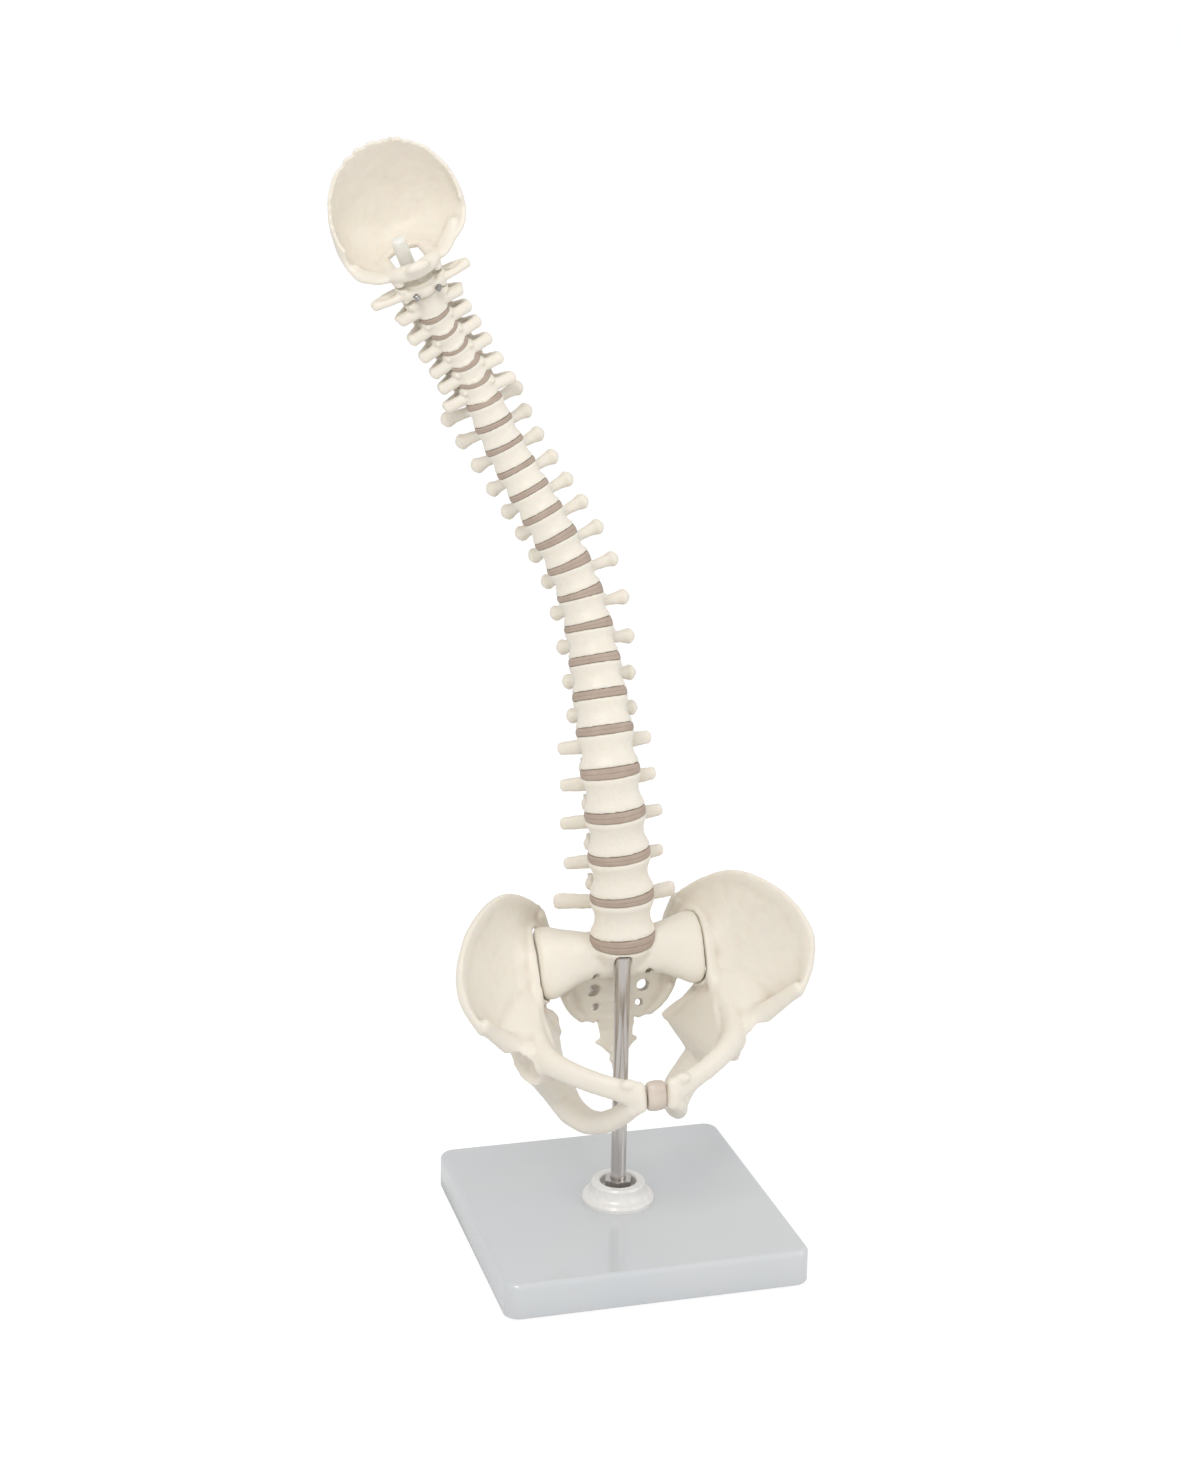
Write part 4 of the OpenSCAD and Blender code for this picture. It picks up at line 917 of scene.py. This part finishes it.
cuts = [rod_cut(3.15, 60, 117.7), rod_cut(4.3, -6, 8, SACRUM @ move(0, canal_y(1), 0))]
for k in range(4):
    x, y, z = 11.4 - k * 1.1, (11, 17, 20, 21.5)[k], (107, 98, 89.2, 81.2)[k]
    for q in (-1, 1):
        tilt = turn("Z", -q * 6) @ turn("X", 78 - k * 6)
        cuts.append(rod_cut((1.5, 2.5, 1.5, 1.0)[k], -20, 20, PELVIS @ move(q * x, y, z) @ tilt, 24))
ob = fused("sacral_bone", parts, 0.55, 20, grain=0.13, grain_size=4, cavity=24, cuts=cuts)
dress(ob, BONE, "stand", "sacrum")


# ---------------------------------------------------------------- symphysis, base and steel
def symphysis():
    n, rings = 40, []
    for x, k in ((-3.3, 0.90), (-3.0, 0.97), (-2, 1.04), (0, 1.08), (2, 1.04), (3.0, 0.97), (3.3, 0.90)):
        a = np.linspace(0, 2 * np.pi, n, endpoint=False)
        rings.append(np.stack([np.full(n, x), -45.6 + 4.2 * k * np.cos(a) - 0.14 * 5.9 * k * np.sin(a),
                               79 + 5.9 * k * np.sin(a)], 1))
    return loft(rings)


ob = mesh_object("pubic_cushion", placed(symphysis(), PELVIS))
smooth_shade(ob.data)
dress(ob, GRISTLE, "stand", "pubic_symphysis")


def plate():
    """Rounded square with a soft upper edge; the hollow below for the fixing is cut into it afterwards."""
    half, corner, edge, top, low_z = 60.0, 6.0, 2.2, 15.0, 0.85
    rings = []
    steps = [(low_z, 0.5), (low_z + 0.25, 0.15), (low_z + 0.6, 0.0)] + \
        [(top - edge + edge * math.sin(math.radians(a)), edge * (1 - math.cos(math.radians(a)))) for a in range(0, 91, 9)]
    for z, inset in steps:
        pts = []
        r = max(0.5, corner - inset)
        c = half - corner
        for q in range(4):
            for a in np.linspace(q * 90, q * 90 + 90, 13):
                sx, sy = (1, -1, -1, 1)[q], (1, 1, -1, -1)[q]
                pts.append((sx * c + r * math.cos(math.radians(a)), sy * c + r * math.sin(math.radians(a)), z))
        rings.append(np.array(pts))
    return loft(rings)


ob = mesh_object("base_slab", plate())
smooth_shade(ob.data)
for f in ob.data.polygons:
    if len(f.vertices) > 4:
        f.use_smooth = False
cut = mesh_object("cut_tool", loft([[(12 * math.cos(a), 12 * math.sin(a), z) for a in np.linspace(0, 2 * np.pi, 96, endpoint=False)]
                                    for z in (-2, 7.85)]))
cut2 = mesh_object("cut_tool2", loft([[(3.15 * math.cos(a), 3.15 * math.sin(a), z) for a in np.linspace(0, 2 * np.pi, 64, endpoint=False)]
                                      for z in (-2, 20)]))
for tool in (cut, cut2):
    mod = ob.modifiers.new("cut", "BOOLEAN")
    mod.operation = "DIFFERENCE"
    mod.object = tool
    mod.solver = "EXACT"
deps = bpy.context.evaluated_depsgraph_get()
me = bpy.data.meshes.new_from_object(ob.evaluated_get(deps))
ob.modifiers.clear()
ob.data = me
for tool in (cut, cut2):
    bpy.data.objects.remove(tool)
dress(ob, PLATE, "stand", "base_plate")

for name, mat in (("base_collar", COLLAR), ("base_sheet", RUBBER), ("rod_nuts", STEEL), ("rod_washer", STEEL),
                  ("support_rod", STEEL), ("atlas_springs", WIRE)):
    o = nodes[name]
    o.data.materials.clear()
    o.data.materials.append(mat)

# ---------------------------------------------------------------- floor, light and camera
me = bpy.data.meshes.new("floor")
me.from_pydata([(-6, -6, 0), (6, -6, 0), (6, 6, 0), (-6, 6, 0)], [], [(0, 1, 2, 3)])
floor = bpy.data.objects.new("floor", me)
scene.collection.objects.link(floor)
fm = bpy.data.materials.new("floor")
fm.use_nodes = True
nt = fm.node_tree
pb = nt.nodes["Principled BSDF"]
pb.inputs["Base Color"].default_value = (0.86, 0.86, 0.86, 1)
pb.inputs["Roughness"].default_value = 0.9
em = node(nt, "ShaderNodeEmission")
em.inputs["Color"].default_value = (1, 1, 1, 1)
em.inputs["Strength"].default_value = 1.2
lp = node(nt, "ShaderNodeLightPath")
ms = node(nt, "ShaderNodeMixShader")
nt.links.new(pb.outputs["BSDF"], ms.inputs[1])
nt.links.new(em.outputs["Emission"], ms.inputs[2])
half = node(nt, "ShaderNodeMath", operation="MULTIPLY")
half.inputs[1].default_value = 0.72
nt.links.new(lp.outputs["Is Camera Ray"], half.inputs[0])
nt.links.new(half.outputs[0], ms.inputs[0])
out_n = nt.nodes["Material Output"]
nt.links.new(ms.outputs[0], out_n.inputs["Surface"])
me.materials.append(fm)

world = bpy.data.worlds.new("studio")
scene.world = world
world.use_nodes = True
nt = world.node_tree
bg = nt.nodes["Background"]
bg.inputs["Color"].default_value = (1, 1, 1, 1)
bg.inputs["Strength"].default_value = 0.56
bg2 = node(nt, "ShaderNodeBackground")
bg2.inputs["Color"].default_value = (1, 1, 1, 1)
bg2.inputs["Strength"].default_value = 1.0
lp = node(nt, "ShaderNodeLightPath")
mx = node(nt, "ShaderNodeMath", operation="MAXIMUM")
mx2 = node(nt, "ShaderNodeMath", operation="MAXIMUM")
nt.links.new(lp.outputs["Is Camera Ray"], mx.inputs[0])
nt.links.new(lp.outputs["Is Transmission Ray"], mx.inputs[1])
nt.links.new(mx.outputs[0], mx2.inputs[0])
ms = node(nt, "ShaderNodeMixShader")
nt.links.new(mx2.outputs[0], ms.inputs[0])
nt.links.new(bg.outputs[0], ms.inputs[1])
nt.links.new(bg2.outputs[0], ms.inputs[2])
nt.links.new(ms.outputs[0], nt.nodes["World Output"].inputs["Surface"])


def lamp(name, where, target, size, power, colour=(1, 1, 1)):
    data = bpy.data.lights.new(name, "AREA")
    data.shape = "DISK"
    data.size = size
    data.energy = power
    data.color = colour
    o = bpy.data.objects.new(name, data)
    o.location = where
    o.rotation_euler = (Vector(target) - Vector(where)).to_track_quat("-Z", "Y").to_euler()
    scene.collection.objects.link(o)
    return o


lamp("key", (-0.55, -0.9, 1.15), (0, 0, 0.22), 0.7, 7.0, (1.0, 0.99, 0.975))
lamp("fill", (0.95, -0.75, 0.65), (0, 0, 0.2), 0.8, 2.4, (0.98, 0.99, 1.0))

AZ, EL, ROLL = math.radians(-15.88), math.radians(15.72), math.radians(1.04)
back = Vector((math.sin(AZ) * math.cos(EL), -math.cos(AZ) * math.cos(EL), math.sin(EL)))
right = Vector((0, 0, 1)).cross(back).normalized()
up = back.cross(right)
r2 = right * math.cos(ROLL) + up * math.sin(ROLL)
u2 = up * math.cos(ROLL) - right * math.sin(ROLL)
cam_data = bpy.data.cameras.new("camera")
cam_data.sensor_width = 36
cam_data.lens = 2450 * 36 / 1459
cam_data.sensor_fit = "AUTO"
cam_data.clip_start = 0.05
cam_data.clip_end = 20
cam = bpy.data.objects.new("camera", cam_data)
scene.collection.objects.link(cam)
cam.matrix_world = Matrix(((r2.x, u2.x, back.x, -0.2563), (r2.y, u2.y, back.y, -0.8491), (r2.z, u2.z, back.z, 0.4577), (0, 0, 0, 1)))
scene.camera = cam
scene.view_settings.view_transform = "Standard"
